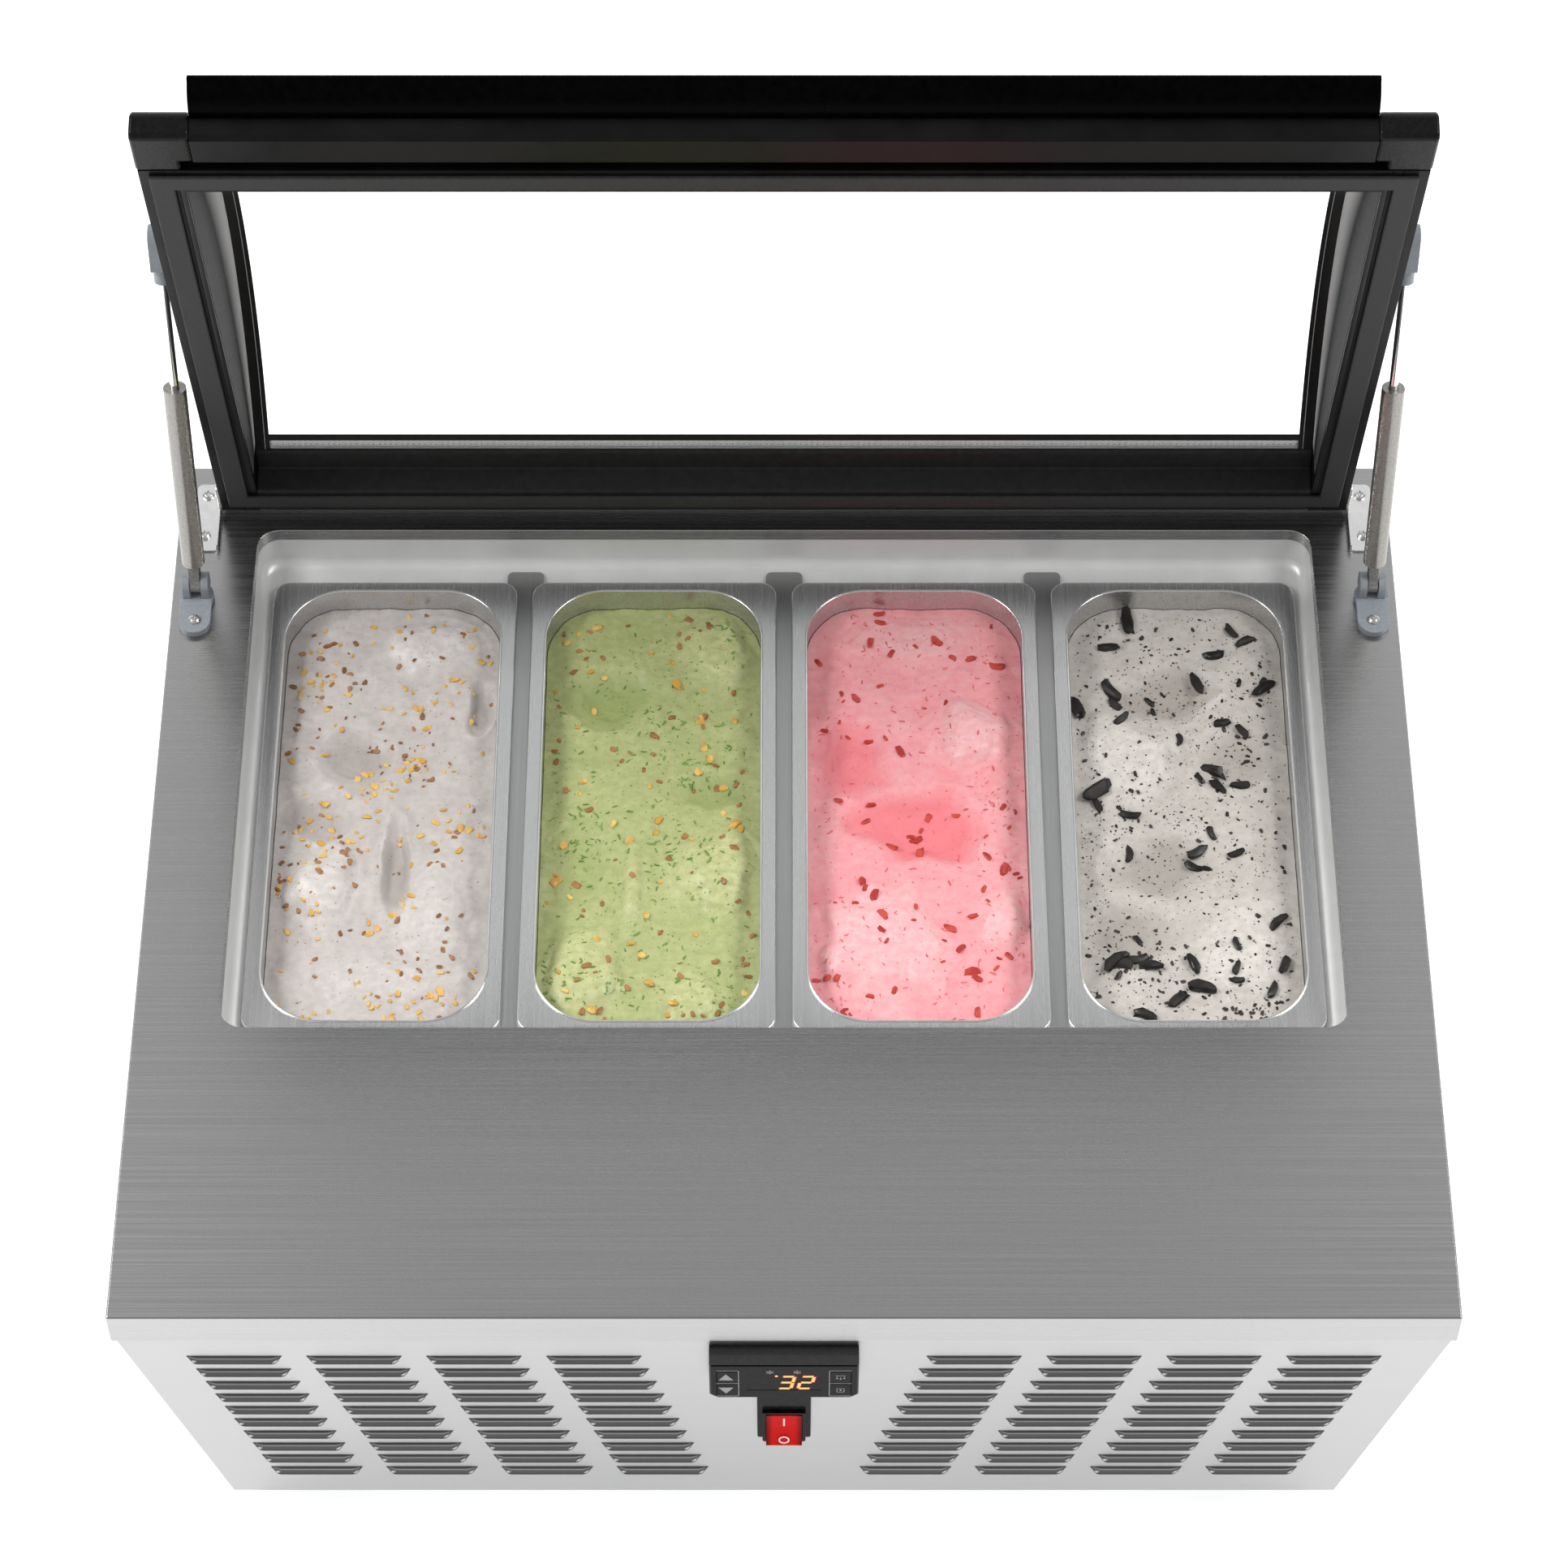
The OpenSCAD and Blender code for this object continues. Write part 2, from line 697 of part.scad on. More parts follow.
module switch_housing() {
    bezel_w = 27;
    bezel_h = 37.6;
    color("#151515") translate([0, 0, down(switch_mid)]) difference() {
        union() {
            along_y(back(panel_y - 6.5), back(panel_y - 4)) round_rect(bezel_w, bezel_h, 2);
            box([-12.6, back(panel_y - 4.5), -18.2], [12.6, back(24), 18.2]);
        }
        box([-rocker_w / 2 - 0.3, back(panel_y - 8), -rocker_half - 2.1],
            [rocker_w / 2 + 0.3, back(panel_y), rocker_half + 2.1]);
        box([-10.6, back(panel_y - 1), -13.6], [10.6, back(22), 13.6]);
    }
}

// The rocker rests with its upper half pressed in, and tips about the round hub behind its face.
module switch_rocker() {
    out = 9.9;
    neck = 9.4;
    hub_r = 5;
    color("red") translate([0, back(rocker_y), down(switch_mid)]) rotate([-rocker_tip / 2, 0, 0]) {
        along_x(-rocker_w / 2, rocker_w / 2) polygon([
            [-out, rocker_half], [-out + 1.3, 5], [-out + 1.3, -5], [-out, -rocker_half],
            [-out + 3.4, -rocker_half], [-out + 4.3, -8], [-out + 4.3, 8], [-out + 3.4, rocker_half]
        ]);
        along_x(-neck, neck) {
            polygon([[-out + 4, -8], [2, -4], [2, 4], [-out + 4, 8]]);
            circle(hub_r, $fn = round_fn);
        }
    }
}

// ---- hinges and struts on the top plate ----

leaf_x = lid_w / 2 + 1;
bracket_mid = 613.5;
bracket_half = 28.5;
bracket_w = 17.5;

module hinge_brackets() {
    color("gainsboro") both_sides() {
        difference() {
            translate([leaf_x + bracket_w / 2, back(bracket_mid), body_h]) linear_extrude(sheet)
                round_rect(bracket_w, 2 * bracket_half, 4);
            for (y = [598, 632.5])
                translate([leaf_x + 10, back(y), body_h - 1]) cylinder(h = 4, r = 2.2, $fn = round_fn);
        }
        along_x(leaf_x, leaf_x + sheet) difference() {
            union() {
                translate([back(bracket_mid - bracket_half), body_h]) square([2 * bracket_half, 7]);
                translate([hinge_y - 8, body_h]) square([16, hinge_z - body_h]);
                translate([hinge_y, hinge_z]) circle(8, $fn = round_fn);
            }
            translate([hinge_y, hinge_z]) circle(3, $fn = round_fn);
        }
    }
}

module hinge_pins() {
    color("silver") both_sides() translate([0, hinge_y, hinge_z]) rotate([0, 90, 0]) {
        translate([0, 0, leaf_x - 17]) cylinder(h = 17 + sheet, r = 3, $fn = round_fn);
        translate([0, 0, leaf_x + sheet]) cylinder(h = 1.6, r = 5, $fn = round_fn);
    }
}

// A pan-head screw with a cross recess, its head's underside at the origin.
module pan_head_screw(shank) {
    difference() {
        rotate_extrude($fn = round_fn)
            polygon([[0, -shank], [2, -shank], [2, 0], [4, 0], [4, 1.2], [2.6, 2.4], [0, 2.6]]);
        for (turn = [0, 90]) rotate([0, 0, turn]) translate([-2.2, -0.45, 1.4]) cube([4.4, 0.9, 2]);
    }
}

foot_screw_y = 524;
foot_base_h = 5;

module plate_screws() {
    color("silver") both_sides() {
        for (y = [598, 632.5])
            translate([leaf_x + 10, back(y), body_h + sheet]) pan_head_screw(sheet);
        translate([strut_x, back(foot_screw_y), body_h + foot_base_h]) pan_head_screw(foot_base_h);
    }
}

// An oval foot with two ears and the pin between them.
module strut_feet() {
    color("slategray") both_sides() translate([strut_x, 0, 0]) {
        difference() {
            translate([0, 0, body_h]) linear_extrude(foot_base_h) {
                translate([0, back(foot_screw_y)]) circle(10.5, $fn = fine);
                translate([0, foot_y - 4]) circle(11.5, $fn = fine);
                translate([-10.5, back(foot_screw_y)]) square([21, foot_y - 4 - back(foot_screw_y)]);
            }
            translate([0, back(foot_screw_y), body_h - 1])
                cylinder(h = foot_base_h + 2, r = 2.2, $fn = round_fn);
        }
        for (x = [-8.7, 3.7]) along_x(x, x + 5) {
            translate([foot_y, foot_z]) circle(7.5, $fn = round_fn);
            translate([foot_y - 7.5, body_h + foot_base_h]) square([15, foot_z - body_h - foot_base_h]);
        }
        translate([-3.7, foot_y, foot_z]) rotate([0, 90, 0]) cylinder(h = 7.4, r = pivot_r, $fn = round_fn);
    }
}

// Places its children with Z along the right-hand strut, from the lower pivot upwards.
module along_strut() {
    translate([strut_x, foot_y, foot_z]) rotate([strut_a - 90, 0, 0]) children();
}

module strut_tube() {
    tongue = 3.4;
    color("#8d8b86") along_strut() {
        difference() {
            union() {
                translate([0, 0, tube_start]) cylinder(h = tube_end - tube_start, r = tube_d / 2, $fn = fine);
                along_x(-tongue, tongue) {
                    circle(6.5, $fn = round_fn);
                    translate([-5, 0]) square([10, tube_start]);
                }
            }
            translate([0, 0, tube_start + 4])
                cylinder(h = tube_end - tube_start - 4 - gland_l, r = tube_d / 2 - 1.2, $fn = fine);
            translate([0, 0, tube_end - gland_l - 1])
                cylinder(h = gland_l + 2, r = rod_d / 2 + running, $fn = round_fn);
            rotate([0, 90, 0]) cylinder(h = 20, r = pivot_r + running, center = true, $fn = round_fn);
        }
    }
}

module strut_rod() {
    color("whitesmoke") along_strut() {
        translate([0, 0, rod_start]) cylinder(h = strut_len - 20 - rod_start, r = rod_d / 2, $fn = round_fn);
        translate([0, 0, rod_start]) cylinder(h = 10, r = tube_d / 2 - 1.3, $fn = fine);
    }
}

// The end fitting screws onto the rod and lies against the lid's plate.
module strut_end() {
    slab = strut_x - lid_w / 2 - 3 - gap;
    color("slategray") along_strut() difference() {
        union() {
            translate([0, 0, strut_len - 34]) cylinder(h = 20, r = 5.5, $fn = round_fn);
            along_x(-slab, 6) {
                translate([0, strut_len]) circle(8, $fn = round_fn);
                translate([-8, strut_len - 22]) square([16, 22]);
            }
        }
        translate([0, 0, strut_len - 40]) cylinder(h = 20, r = rod_d / 2, $fn = round_fn);
    }
}

module strut_tube_left() { mirror([1, 0, 0]) strut_tube(); }
module strut_tube_right() { strut_tube(); }
module strut_rod_left() { mirror([1, 0, 0]) strut_rod(); }
module strut_rod_right() { strut_rod(); }
module strut_end_left() { mirror([1, 0, 0]) strut_end(); }
module strut_end_right() { strut_end(); }

// ---- lid ----

// Places its children on the open lid, with the hinge's axis along X through their origin.
module on_lid() {
    translate([0, hinge_y, hinge_z]) rotate([-lid_open, 0, 0]) children();
}

// Extrudes a (u, v) outline across the lid from x0 to x1.
module across_lid(x0, x1) {
    on_lid() along_x(x0, x1) translate([hinge_u, -hinge_v]) mirror([1, 0]) children();
}

// A direction at an angle from straight out of the lid, positive towards its front.
function lean(a) = [sin(a), cos(a)];

// The wedge between two such directions from a centre.
module wedge(c, a0, a1) {
    reach = 1200;
    polygon([c, c + reach * lean(a0), c + reach * lean((a0 + a1) / 2), c + reach * lean(a1)]);
}

// The lid's curve from its back to its front, this far outside the inner pane's inner face.
function dome(off, end) = concat(
    [for (i = [0 : dome_steps])
        rear_c + (glass_r + off) * lean(-rear_a + i * (rear_a - join_a) / dome_steps)],
    [for (i = [1 : dome_steps])
        front_c + (front_glass_r + off) * lean(-join_a + i * (end + join_a) / dome_steps)]
);
function reversed(points) = [for (i = [len(points) - 1 : -1 : 0]) points[i]];

// The space between two such curves.
module dome_band(from, to) {
    polygon(concat(dome(to, front_a), reversed(dome(from, front_a))));
}

module glass_outer() {
    color("lightblue", 0.3) across_lid(-frame_half + gap, frame_half - gap)
        dome_band(pane + pane_gap, glazing);
}

module glass_inner() {
    color("lightblue", 0.3) across_lid(-frame_half + gap, frame_half - gap)
        dome_band(0, pane);
}

// The strip that holds the panes apart, all round the glass.
module glass_spacer() {
    strip = 6.5;
    half = frame_half - gap;
    rear_turn = strip / glass_r * 180 / PI;
    front_turn = strip / front_glass_r * 180 / PI;
    color("silver") {
        for (x = [-half, half - strip]) across_lid(x, x + strip)
            dome_band(pane, pane + pane_gap);
        across_lid(-half + strip, half - strip) intersection() {
            dome_band(pane, pane + pane_gap);
            union() {
                wedge(rear_c, -rear_a - 1, -rear_a + rear_turn);
                wedge(front_c, front_a - front_turn, front_a + 1);
            }
        }
    }
}

rear_rail_back = [[30, 33], [8, 24], [0, 18], [0, 0]];

module lid_rear_rail() {
    color("#101010") across_lid(-frame_half, frame_half)
        polygon(concat([[30, 0], [30, 17], [46, 20.5], [47.9, 22.6], [40.7, 34.6]], rear_rail_back));
}

module lid_side_rail() {
    rail_end_a = asin((rail_front - front_c[0]) / (front_glass_r + glazing));
    color("#101010") difference() {
        across_lid(frame_half, lid_w / 2)
            polygon(concat([[rail_front, 0]], reversed(dome(glazing, rail_end_a)), rear_rail_back));
        translate([leaf_x - 19, hinge_y, hinge_z]) rotate([0, 90, 0])
            cylinder(h = 30, r = 3 + running, $fn = round_fn);
    }
}

module lid_side_rail_left() { mirror([1, 0, 0]) lid_side_rail(); }
module lid_side_rail_right() { lid_side_rail(); }

cap_x = 345;
cap_back = 470;

module front_rail_outline() {
    inner = front_c + front_glass_r * lean(front_a);
    outer = front_c + (front_glass_r + glazing) * lean(front_a);
    polygon([
        [435, 0], [rail_front, 0], [rail_front, 6], [470, 6], [470, 0], [494, 0], [497, 3], [497, 15],
        [494, 18], outer + [0, -0.1], inner + [0, -0.1], [436, 8]
    ]);
}

module lid_front_rail() {
    color("#101010") {
        across_lid(-cap_x, cap_x) front_rail_outline();
        both_sides() across_lid(cap_x, frame_half) intersection() {
            front_rail_outline();
            translate([400, -10]) square([cap_back - 400 - 0.1, 100]);
        }
    }
}

module lid_end_caps() {
    nose = [[496, 0], [499, 3], [499, 15], [496.5, 18.3]];
    color("#181818") both_sides() {
        across_lid(frame_half, lid_w / 2 + 1)
            polygon(concat([[rail_front, 0]], nose, [[466, 30.5], [rail_front, 34]]));
        across_lid(cap_x, frame_half) polygon(concat([[cap_back, 0]], nose, [[cap_back, 28.9]]));
    }
}

// A scooped grip along the lid's front edge, with a rolled lip.
module lid_handle() {
    c = [497, 34];
    r = 19;
    lip_a = 105;
    color("#0c0c0c") across_lid(-cap_x, cap_x) {
        intersection() {
            translate(c) difference() {
                circle(r + 1.5, $fn = fine);
                circle(r - 1.5, $fn = fine);
            }
            wedge(c, 180, lip_a);
        }
        translate(c + r * lean(lip_a)) circle(2.3, $fn = round_fn);
    }
}

module lid_gasket() {
    rear = 10;
    front = 455;
    strip = 14;
    outer_w = lid_w - 12;
    color("#1a1a1a") on_lid() translate([0, hinge_u - (rear + front) / 2, -hinge_v - seal_h])
        linear_extrude(seal_h) difference() {
            square([outer_w, front - rear], center = true);
            square([outer_w - 2 * strip, front - rear - 2 * strip], center = true);
        }
}

// Plates screwed to the side rails, where the struts' end fittings lie.
module strut_plates() {
    color("silver") both_sides() along_strut() {
        face = lid_w / 2 - strut_x;
        along_x(face, face + 3) {
            translate([0, strut_len]) circle(11, $fn = round_fn);
            translate([-11, strut_len - 34]) square([22, 34]);
        }
    }
}

// ---- assembly ----

top_plate();
front_panel();
side_panel_left();
side_panel_right();
back_panel();
base_tray();
rubber_feet();
well_liner();
foam_insulation();
evaporator_coil();
divider_bars();
compressor();
compressor_mounts();
condenser_coil();
fan_shroud();
fan_motor();
fan_blade();
filter_drier();
refrigerant_lines();
electrical_box();
cord_gland();
controller_housing();
controller_fascia();
controller_board();
key_up();
key_down();
key_defrost();
key_set();
switch_bracket();
switch_housing();
switch_rocker();
hinge_brackets();
hinge_pins();
plate_screws();
strut_feet();
strut_tube_left();
strut_tube_right();
strut_rod_left();
strut_rod_right();
strut_end_left();
strut_end_right();
strut_plates();
lid_rear_rail();
lid_side_rail_left();
lid_side_rail_right();
lid_front_rail();
lid_end_caps();
lid_handle();
glass_outer();
glass_inner();
glass_spacer();
lid_gasket();
pan_1();
pan_2();
pan_3();
pan_4();
ice_cream_1();
ice_cream_2();
ice_cream_3();
ice_cream_4();
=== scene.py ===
# Countertop display freezer for scooped ice cream: a tapered steel cabinet with a cold well and four
# pans, under a curved double-glazed lid that stands open on two gas struts. Metres, front towards -Y.
import json
import math
import random

import bmesh
import bpy
from mathutils import Matrix, Vector, noise

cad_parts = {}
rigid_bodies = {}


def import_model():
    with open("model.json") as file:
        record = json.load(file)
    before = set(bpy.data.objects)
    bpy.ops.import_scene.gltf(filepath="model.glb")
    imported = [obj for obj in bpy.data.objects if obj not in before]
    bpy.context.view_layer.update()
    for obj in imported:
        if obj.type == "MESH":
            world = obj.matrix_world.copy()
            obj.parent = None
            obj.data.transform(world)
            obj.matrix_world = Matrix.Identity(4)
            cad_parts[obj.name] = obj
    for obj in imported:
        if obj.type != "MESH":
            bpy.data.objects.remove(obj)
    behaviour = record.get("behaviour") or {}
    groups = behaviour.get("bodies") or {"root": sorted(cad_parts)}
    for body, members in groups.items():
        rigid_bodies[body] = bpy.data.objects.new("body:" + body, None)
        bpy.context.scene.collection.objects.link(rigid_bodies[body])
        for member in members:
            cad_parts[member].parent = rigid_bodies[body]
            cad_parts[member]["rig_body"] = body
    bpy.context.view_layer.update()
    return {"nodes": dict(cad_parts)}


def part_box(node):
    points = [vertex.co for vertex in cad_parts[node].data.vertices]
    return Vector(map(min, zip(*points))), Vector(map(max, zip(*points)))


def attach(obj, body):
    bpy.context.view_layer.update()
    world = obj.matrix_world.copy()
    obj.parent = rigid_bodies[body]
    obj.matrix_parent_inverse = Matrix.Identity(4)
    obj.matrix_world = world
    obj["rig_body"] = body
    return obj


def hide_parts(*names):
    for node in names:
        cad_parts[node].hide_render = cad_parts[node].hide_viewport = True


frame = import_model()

# The studio: a matt white floor that runs out of sight, under two broad soft lamps and a dome of light
# that is brightest behind the freezer, as white boards placed round it would be.
scene = bpy.context.scene
scene.view_settings.view_transform = "Standard"

world = bpy.data.worlds.new("studio dome")
scene.world = world
world.use_nodes = True
dome_nodes, dome_links = world.node_tree.nodes, world.node_tree.links
background = dome_nodes["Background"]
direction = dome_nodes.new("ShaderNodeTexCoord")
axes = dome_nodes.new("ShaderNodeSeparateXYZ")
front_to_back = dome_nodes.new("ShaderNodeMapRange")
front_to_back.inputs["From Min"].default_value = -1
front_to_back.inputs["From Max"].default_value = 1


def grey_ramp(nodes, stops, blue=1.0):
    """A colour ramp of greys, each given as its place and its tone."""
    ramp = nodes.new("ShaderNodeValToRGB")
    for at, grey in stops:
        stop = ramp.color_ramp.elements.new(at)
        stop.color = (grey, grey, grey * blue, 1)
    ramp.color_ramp.elements.remove(ramp.color_ramp.elements[0])
    return ramp


dome_tones = grey_ramp(dome_nodes, [(0.0, 0.45), (0.2, 0.40), (0.38, 0.38), (0.5, 0.42), (0.65, 0.30),
                                    (0.72, 0.40), (0.78, 0.80), (0.87, 1.0), (1.0, 1.1)], blue=1.01)
dome_links.new(direction.outputs["Generated"], axes.inputs[0])
dome_links.new(axes.outputs["Y"], front_to_back.inputs["Value"])
dome_links.new(front_to_back.outputs[0], dome_tones.inputs[0])
dome_links.new(dome_tones.outputs[0], background.inputs["Color"])


def lamp(name, place, aim, width, depth, watts):
    """A rectangular soft box that points at a place."""
    light = bpy.data.lights.new(name, "AREA")
    light.shape = "RECTANGLE"
    light.size, light.size_y = width, depth
    light.energy = watts
    holder = bpy.data.objects.new(name, light)
    scene.collection.objects.link(holder)
    holder.location = place
    holder.rotation_euler = (Vector(aim) - Vector(place)).to_track_quat("-Z", "Y").to_euler()


lamp("left_soft_box", (-1.9, 0.1, 2.5), (0, 0, 0.1), 1.6, 1.0, 56)
lamp("right_soft_box", (1.9, 0.1, 2.5), (0, 0, 0.1), 1.6, 1.0, 44)


def finish(name, tone, other, rough, grain, metal=0.0, relief=0.1, depth=0.0002, fine=3.0,
           span=(0.35, 0.65), **sockets):
    """A surface whose grain, in object coordinates, varies its colour, its roughness and its relief."""
    made = bpy.data.materials.new(name)
    made.use_nodes = True
    nodes, links = made.node_tree.nodes, made.node_tree.links
    shader = nodes["Principled BSDF"]
    where = nodes.new("ShaderNodeTexCoord")
    stretch = nodes.new("ShaderNodeMapping")
    stretch.inputs["Scale"].default_value = grain
    pattern = nodes.new("ShaderNodeTexNoise")
    pattern.inputs["Scale"].default_value = 1
    pattern.inputs["Detail"].default_value = fine
    tones = nodes.new("ShaderNodeValToRGB")
    tones.color_ramp.elements[0].position = span[0]
    tones.color_ramp.elements[0].color = (*tone, 1)
    tones.color_ramp.elements[1].position = span[1]
    tones.color_ramp.elements[1].color = (*other, 1)
    polish = nodes.new("ShaderNodeMapRange")
    polish.inputs["From Min"].default_value = span[0]
    polish.inputs["From Max"].default_value = span[1]
    polish.inputs["To Min"].default_value = rough[0]
    polish.inputs["To Max"].default_value = rough[1]
    bump = nodes.new("ShaderNodeBump")
    bump.inputs["Strength"].default_value = relief
    bump.inputs["Distance"].default_value = depth
    links.new(where.outputs["Object"], stretch.inputs["Vector"])
    links.new(stretch.outputs[0], pattern.inputs["Vector"])
    links.new(pattern.outputs["Fac"], tones.inputs[0])
    links.new(pattern.outputs["Fac"], polish.inputs["Value"])
    links.new(pattern.outputs["Fac"], bump.inputs["Height"])
    links.new(tones.outputs[0], shader.inputs["Base Color"])
    links.new(polish.outputs[0], shader.inputs["Roughness"])
    links.new(bump.outputs[0], shader.inputs["Normal"])
    shader.inputs["Metallic"].default_value = metal
    for socket, value in sockets.items():
        shader.inputs[socket.replace("_", " ")].default_value = value
    return made


floor_paint = finish("floor paint", (0.93, 0.93, 0.93), (0.96, 0.96, 0.96), (0.85, 0.95), (3, 3, 3))
paint_shader = floor_paint.node_tree.nodes["Principled BSDF"]
paint_shader.inputs["Emission Color"].default_value = (1, 1, 1, 1)
paint_shader.inputs["Emission Strength"].default_value = 0.62
shape = bmesh.new()
floor_reach = 20
bmesh.ops.create_grid(shape, x_segments=8, y_segments=8, size=floor_reach)
floor_mesh = bpy.data.meshes.new("studio_floor")
shape.to_mesh(floor_mesh)
shape.free()
floor_mesh.materials.append(floor_paint)
studio_floor = bpy.data.objects.new("studio_floor", floor_mesh)
scene.collection.objects.link(studio_floor)

lens = bpy.data.cameras.new("camera")
lens.lens, lens.sensor_width = 110, 36
lens.clip_end = 100
camera = bpy.data.objects.new("camera", lens)
scene.collection.objects.link(camera)
camera.location = (0, -1.730, 2.788)
camera.rotation_euler = (math.radians(35.3), 0, 0)
scene.camera = camera

# The top plate: one sheet of brushed stainless steel, folded down all round into a lip and turned down
# into a collar round the opening. The sheet's bends are round, and its cut edges are thin.
front_y = -0.327
body_h = 0.250


def joined(node):
    """The CAD node's shape as a mesh of its own, with its triangles joined and its flat faces whole."""
    copy = bmesh.new()
    copy.from_mesh(frame["nodes"][node].data)
    bmesh.ops.remove_doubles(copy, verts=copy.verts, dist=0.00001)
    bmesh.ops.dissolve_limit(copy, angle_limit=0.02, verts=copy.verts, edges=copy.edges)
    return copy


def round_edges(form, radius, steps=2, where=None, sharp=0.6):
    """Rounds the edges that are sharper than an angle, or those of them whose middle passes a test."""
    edges = [
        edge for edge in form.edges
        if len(edge.link_faces) == 2 and edge.calc_face_angle(0) > sharp
        and (where is None or where((edge.verts[0].co + edge.verts[1].co) / 2))
    ]
    if edges:
        bmesh.ops.bevel(form, geom=edges, offset=radius, offset_type="OFFSET", segments=steps,
                        profile=0.5, affect="EDGES", clamp_overlap=True, material=-1)


def piece(name, form, body, surface, stands_for=(), smooth=0.6, wall=0.0):
    """Makes the shape an object of its own, finishes it, and fixes it to its body."""
    data = bpy.data.meshes.new(name)
    form.to_mesh(data)
    form.free()
    data.materials.append(surface)
    data.shade_smooth()
    data.set_sharp_from_angle(angle=smooth)
    made = bpy.data.objects.new(name, data)
    scene.collection.objects.link(made)
    if wall:
        sheet = made.modifiers.new("sheet thickness", "SOLIDIFY")
        sheet.thickness = wall
        sheet.offset = -1
    even = made.modifiers.new("even faces", "WEIGHTED_NORMAL")
    even.keep_sharp = True
    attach(made, body)
    if stands_for:
        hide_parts(*stands_for)
    return made


def body_of(node):
    return frame["nodes"][node]["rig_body"]


def rounded(node, name, radius, surface, steps=2, sharp=0.6):
    """A piece with the CAD node's shape whose edges are rounded as a moulding's or a folded sheet's are."""
    form = joined(node)
    round_edges(form, radius, steps, None, sharp)
    return piece(name, form, body_of(node), surface, [node])


brushed_steel = finish("brushed stainless steel", (0.385, 0.385, 0.383), (0.415, 0.415, 0.413),
                       (0.23, 0.29), (4, 1300, 1300), metal=1.0, relief=0.012, depth=0.0001, fine=3.0)
form = joined("top_plate")
plate_low, plate_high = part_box("top_plate")
outer_bend, opening_bend, foot_bend = 0.0014, 0.0009, 0.0003
round_edges(form, outer_bend, 4, lambda m: (
    (abs(m.x) > plate_high.x - 0.0001 or m.y < plate_low.y + 0.0001 or m.y > plate_high.y - 0.0001)
    and m.z > plate_low.z + 0.0005))
round_edges(form, opening_bend, 3,
            lambda m: m.z > body_h - 0.0001 and abs(m.x) < 0.36 and -0.125 < m.y < 0.28)
round_edges(form, foot_bend, 1, lambda m: m.z < plate_low.z + 0.0005)
piece("folded_top_plate", form, "cabinet", brushed_steel, ["top_plate"])

# The front panel: a sheet of the same steel, punched with 80 louvres in two banks and with the openings
# of the controller and the switch. Each louvre is pressed out like half a boat, open downwards.
panel_y = front_y + 0.003
panel_sheet = 0.0015
louvre_w, louvre_h, louvre_out = 0.0598, 0.006, 0.003
slot_w, slot_h, hood_wall = louvre_w - 0.006, 0.0036, 0.0007
column_pitch, row_pitch = 0.07325, 0.01624
side_slope = 0.2666
panel_low, panel_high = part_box("front_panel")
panel_steel = finish("brushed front panel steel", (0.42, 0.42, 0.42), (0.44, 0.44, 0.44),
                     (0.28, 0.34), (4, 1600, 1600), metal=1.0, relief=0.01, depth=0.0001, fine=3.0)
form = bmesh.new()
half_top, half_foot, bend_z = panel_high.x, 0.3525, body_h - 0.028
corners = [(-half_foot, panel_low.z), (half_foot, panel_low.z), (half_top, bend_z),
           (half_top, panel_high.z), (-half_top, panel_high.z), (-half_top, bend_z)]
outline = form.faces.new([form.verts.new((x, panel_y, z)) for x, z in corners])
slab = bmesh.ops.extrude_face_region(form, geom=[outline])["geom"]
bmesh.ops.translate(form, verts=[v for v in slab if isinstance(v, bmesh.types.BMVert)],
                    vec=(0, panel_sheet, 0))
bmesh.ops.recalc_face_normals(form, faces=form.faces)
louvre_places = [
    (side * (0.3658 - column * column_pitch - row * row_pitch * side_slope - louvre_w / 2),
     body_h - 0.0552 - row * row_pitch)
    for side in (-1, 1) for column in range(4) for row in range(10)
]
cutter = bmesh.new()
cuts = [(x, z - 0.0008, slot_w, slot_h) for x, z in louvre_places]
cuts += [(0, body_h - 0.062, 0.0726, 0.0346), (0, body_h - 0.1333, 0.0256, 0.0368)]
for x, z, width, height in cuts:
    bmesh.ops.create_cube(cutter, size=1, matrix=Matrix.Translation((x, panel_y, z))
                          @ Matrix.Diagonal((width, 0.01, height, 1)))
panel = piece("punched_front_panel", form, "cabinet", panel_steel, ["front_panel"])
cutter_mesh = bpy.data.meshes.new("punch")
cutter.to_mesh(cutter_mesh)
cutter.free()
punch = bpy.data.objects.new("punch", cutter_mesh)
scene.collection.objects.link(punch)
cut = panel.modifiers.new("punched", "BOOLEAN")
cut.operation = "DIFFERENCE"
cut.object = punch
cut.solver = "EXACT"
bpy.context.view_layer.update()
punched = bpy.data.meshes.new_from_object(panel.evaluated_get(bpy.context.evaluated_depsgraph_get()))
panel.modifiers.clear()
panel.data = punched
bpy.data.objects.remove(punch)

form = bmesh.new()
# The first attribute says how far down its hood a point lies and drives painted shade; the second marks a
# painted highlight near each end.
down_hood = form.verts.layers.float.new("down_hood")
painted_end_glint = form.verts.layers.float.new("painted_end_glint")
for x, z in louvre_places:
    grid = bmesh.ops.create_grid(form, x_segments=18, y_segments=5, size=0.5)["verts"]
    for v in grid:
        along, drop = math.sin(v.co.x * math.pi), 0.5 - v.co.y
        end = max(0.0, (abs(along) - 0.76) / 0.24)
        bulge = math.sqrt(max(0.0, 1 - end ** 2.2))
        v[down_hood] = min(1, drop + 0.25 * end)
        v[painted_end_glint] = 0.6 if 0.35 < end < 0.65 and 0.5 < drop < 0.7 else 0.0
        v.co = Vector((
            x + math.copysign(min(abs(along), 1) * (louvre_w / 2) * (1 - 0.10 * end * drop), along),
            panel_y - louvre_out * bulge * min(1, 1.25 * drop ** 0.85) * (1 - 0.12 * max(0, drop - 0.7)),
            z + louvre_h / 2 - louvre_h * drop * (0.22 + 0.78 * bulge ** 0.8)))
bmesh.ops.recalc_face_normals(form, faces=form.faces)
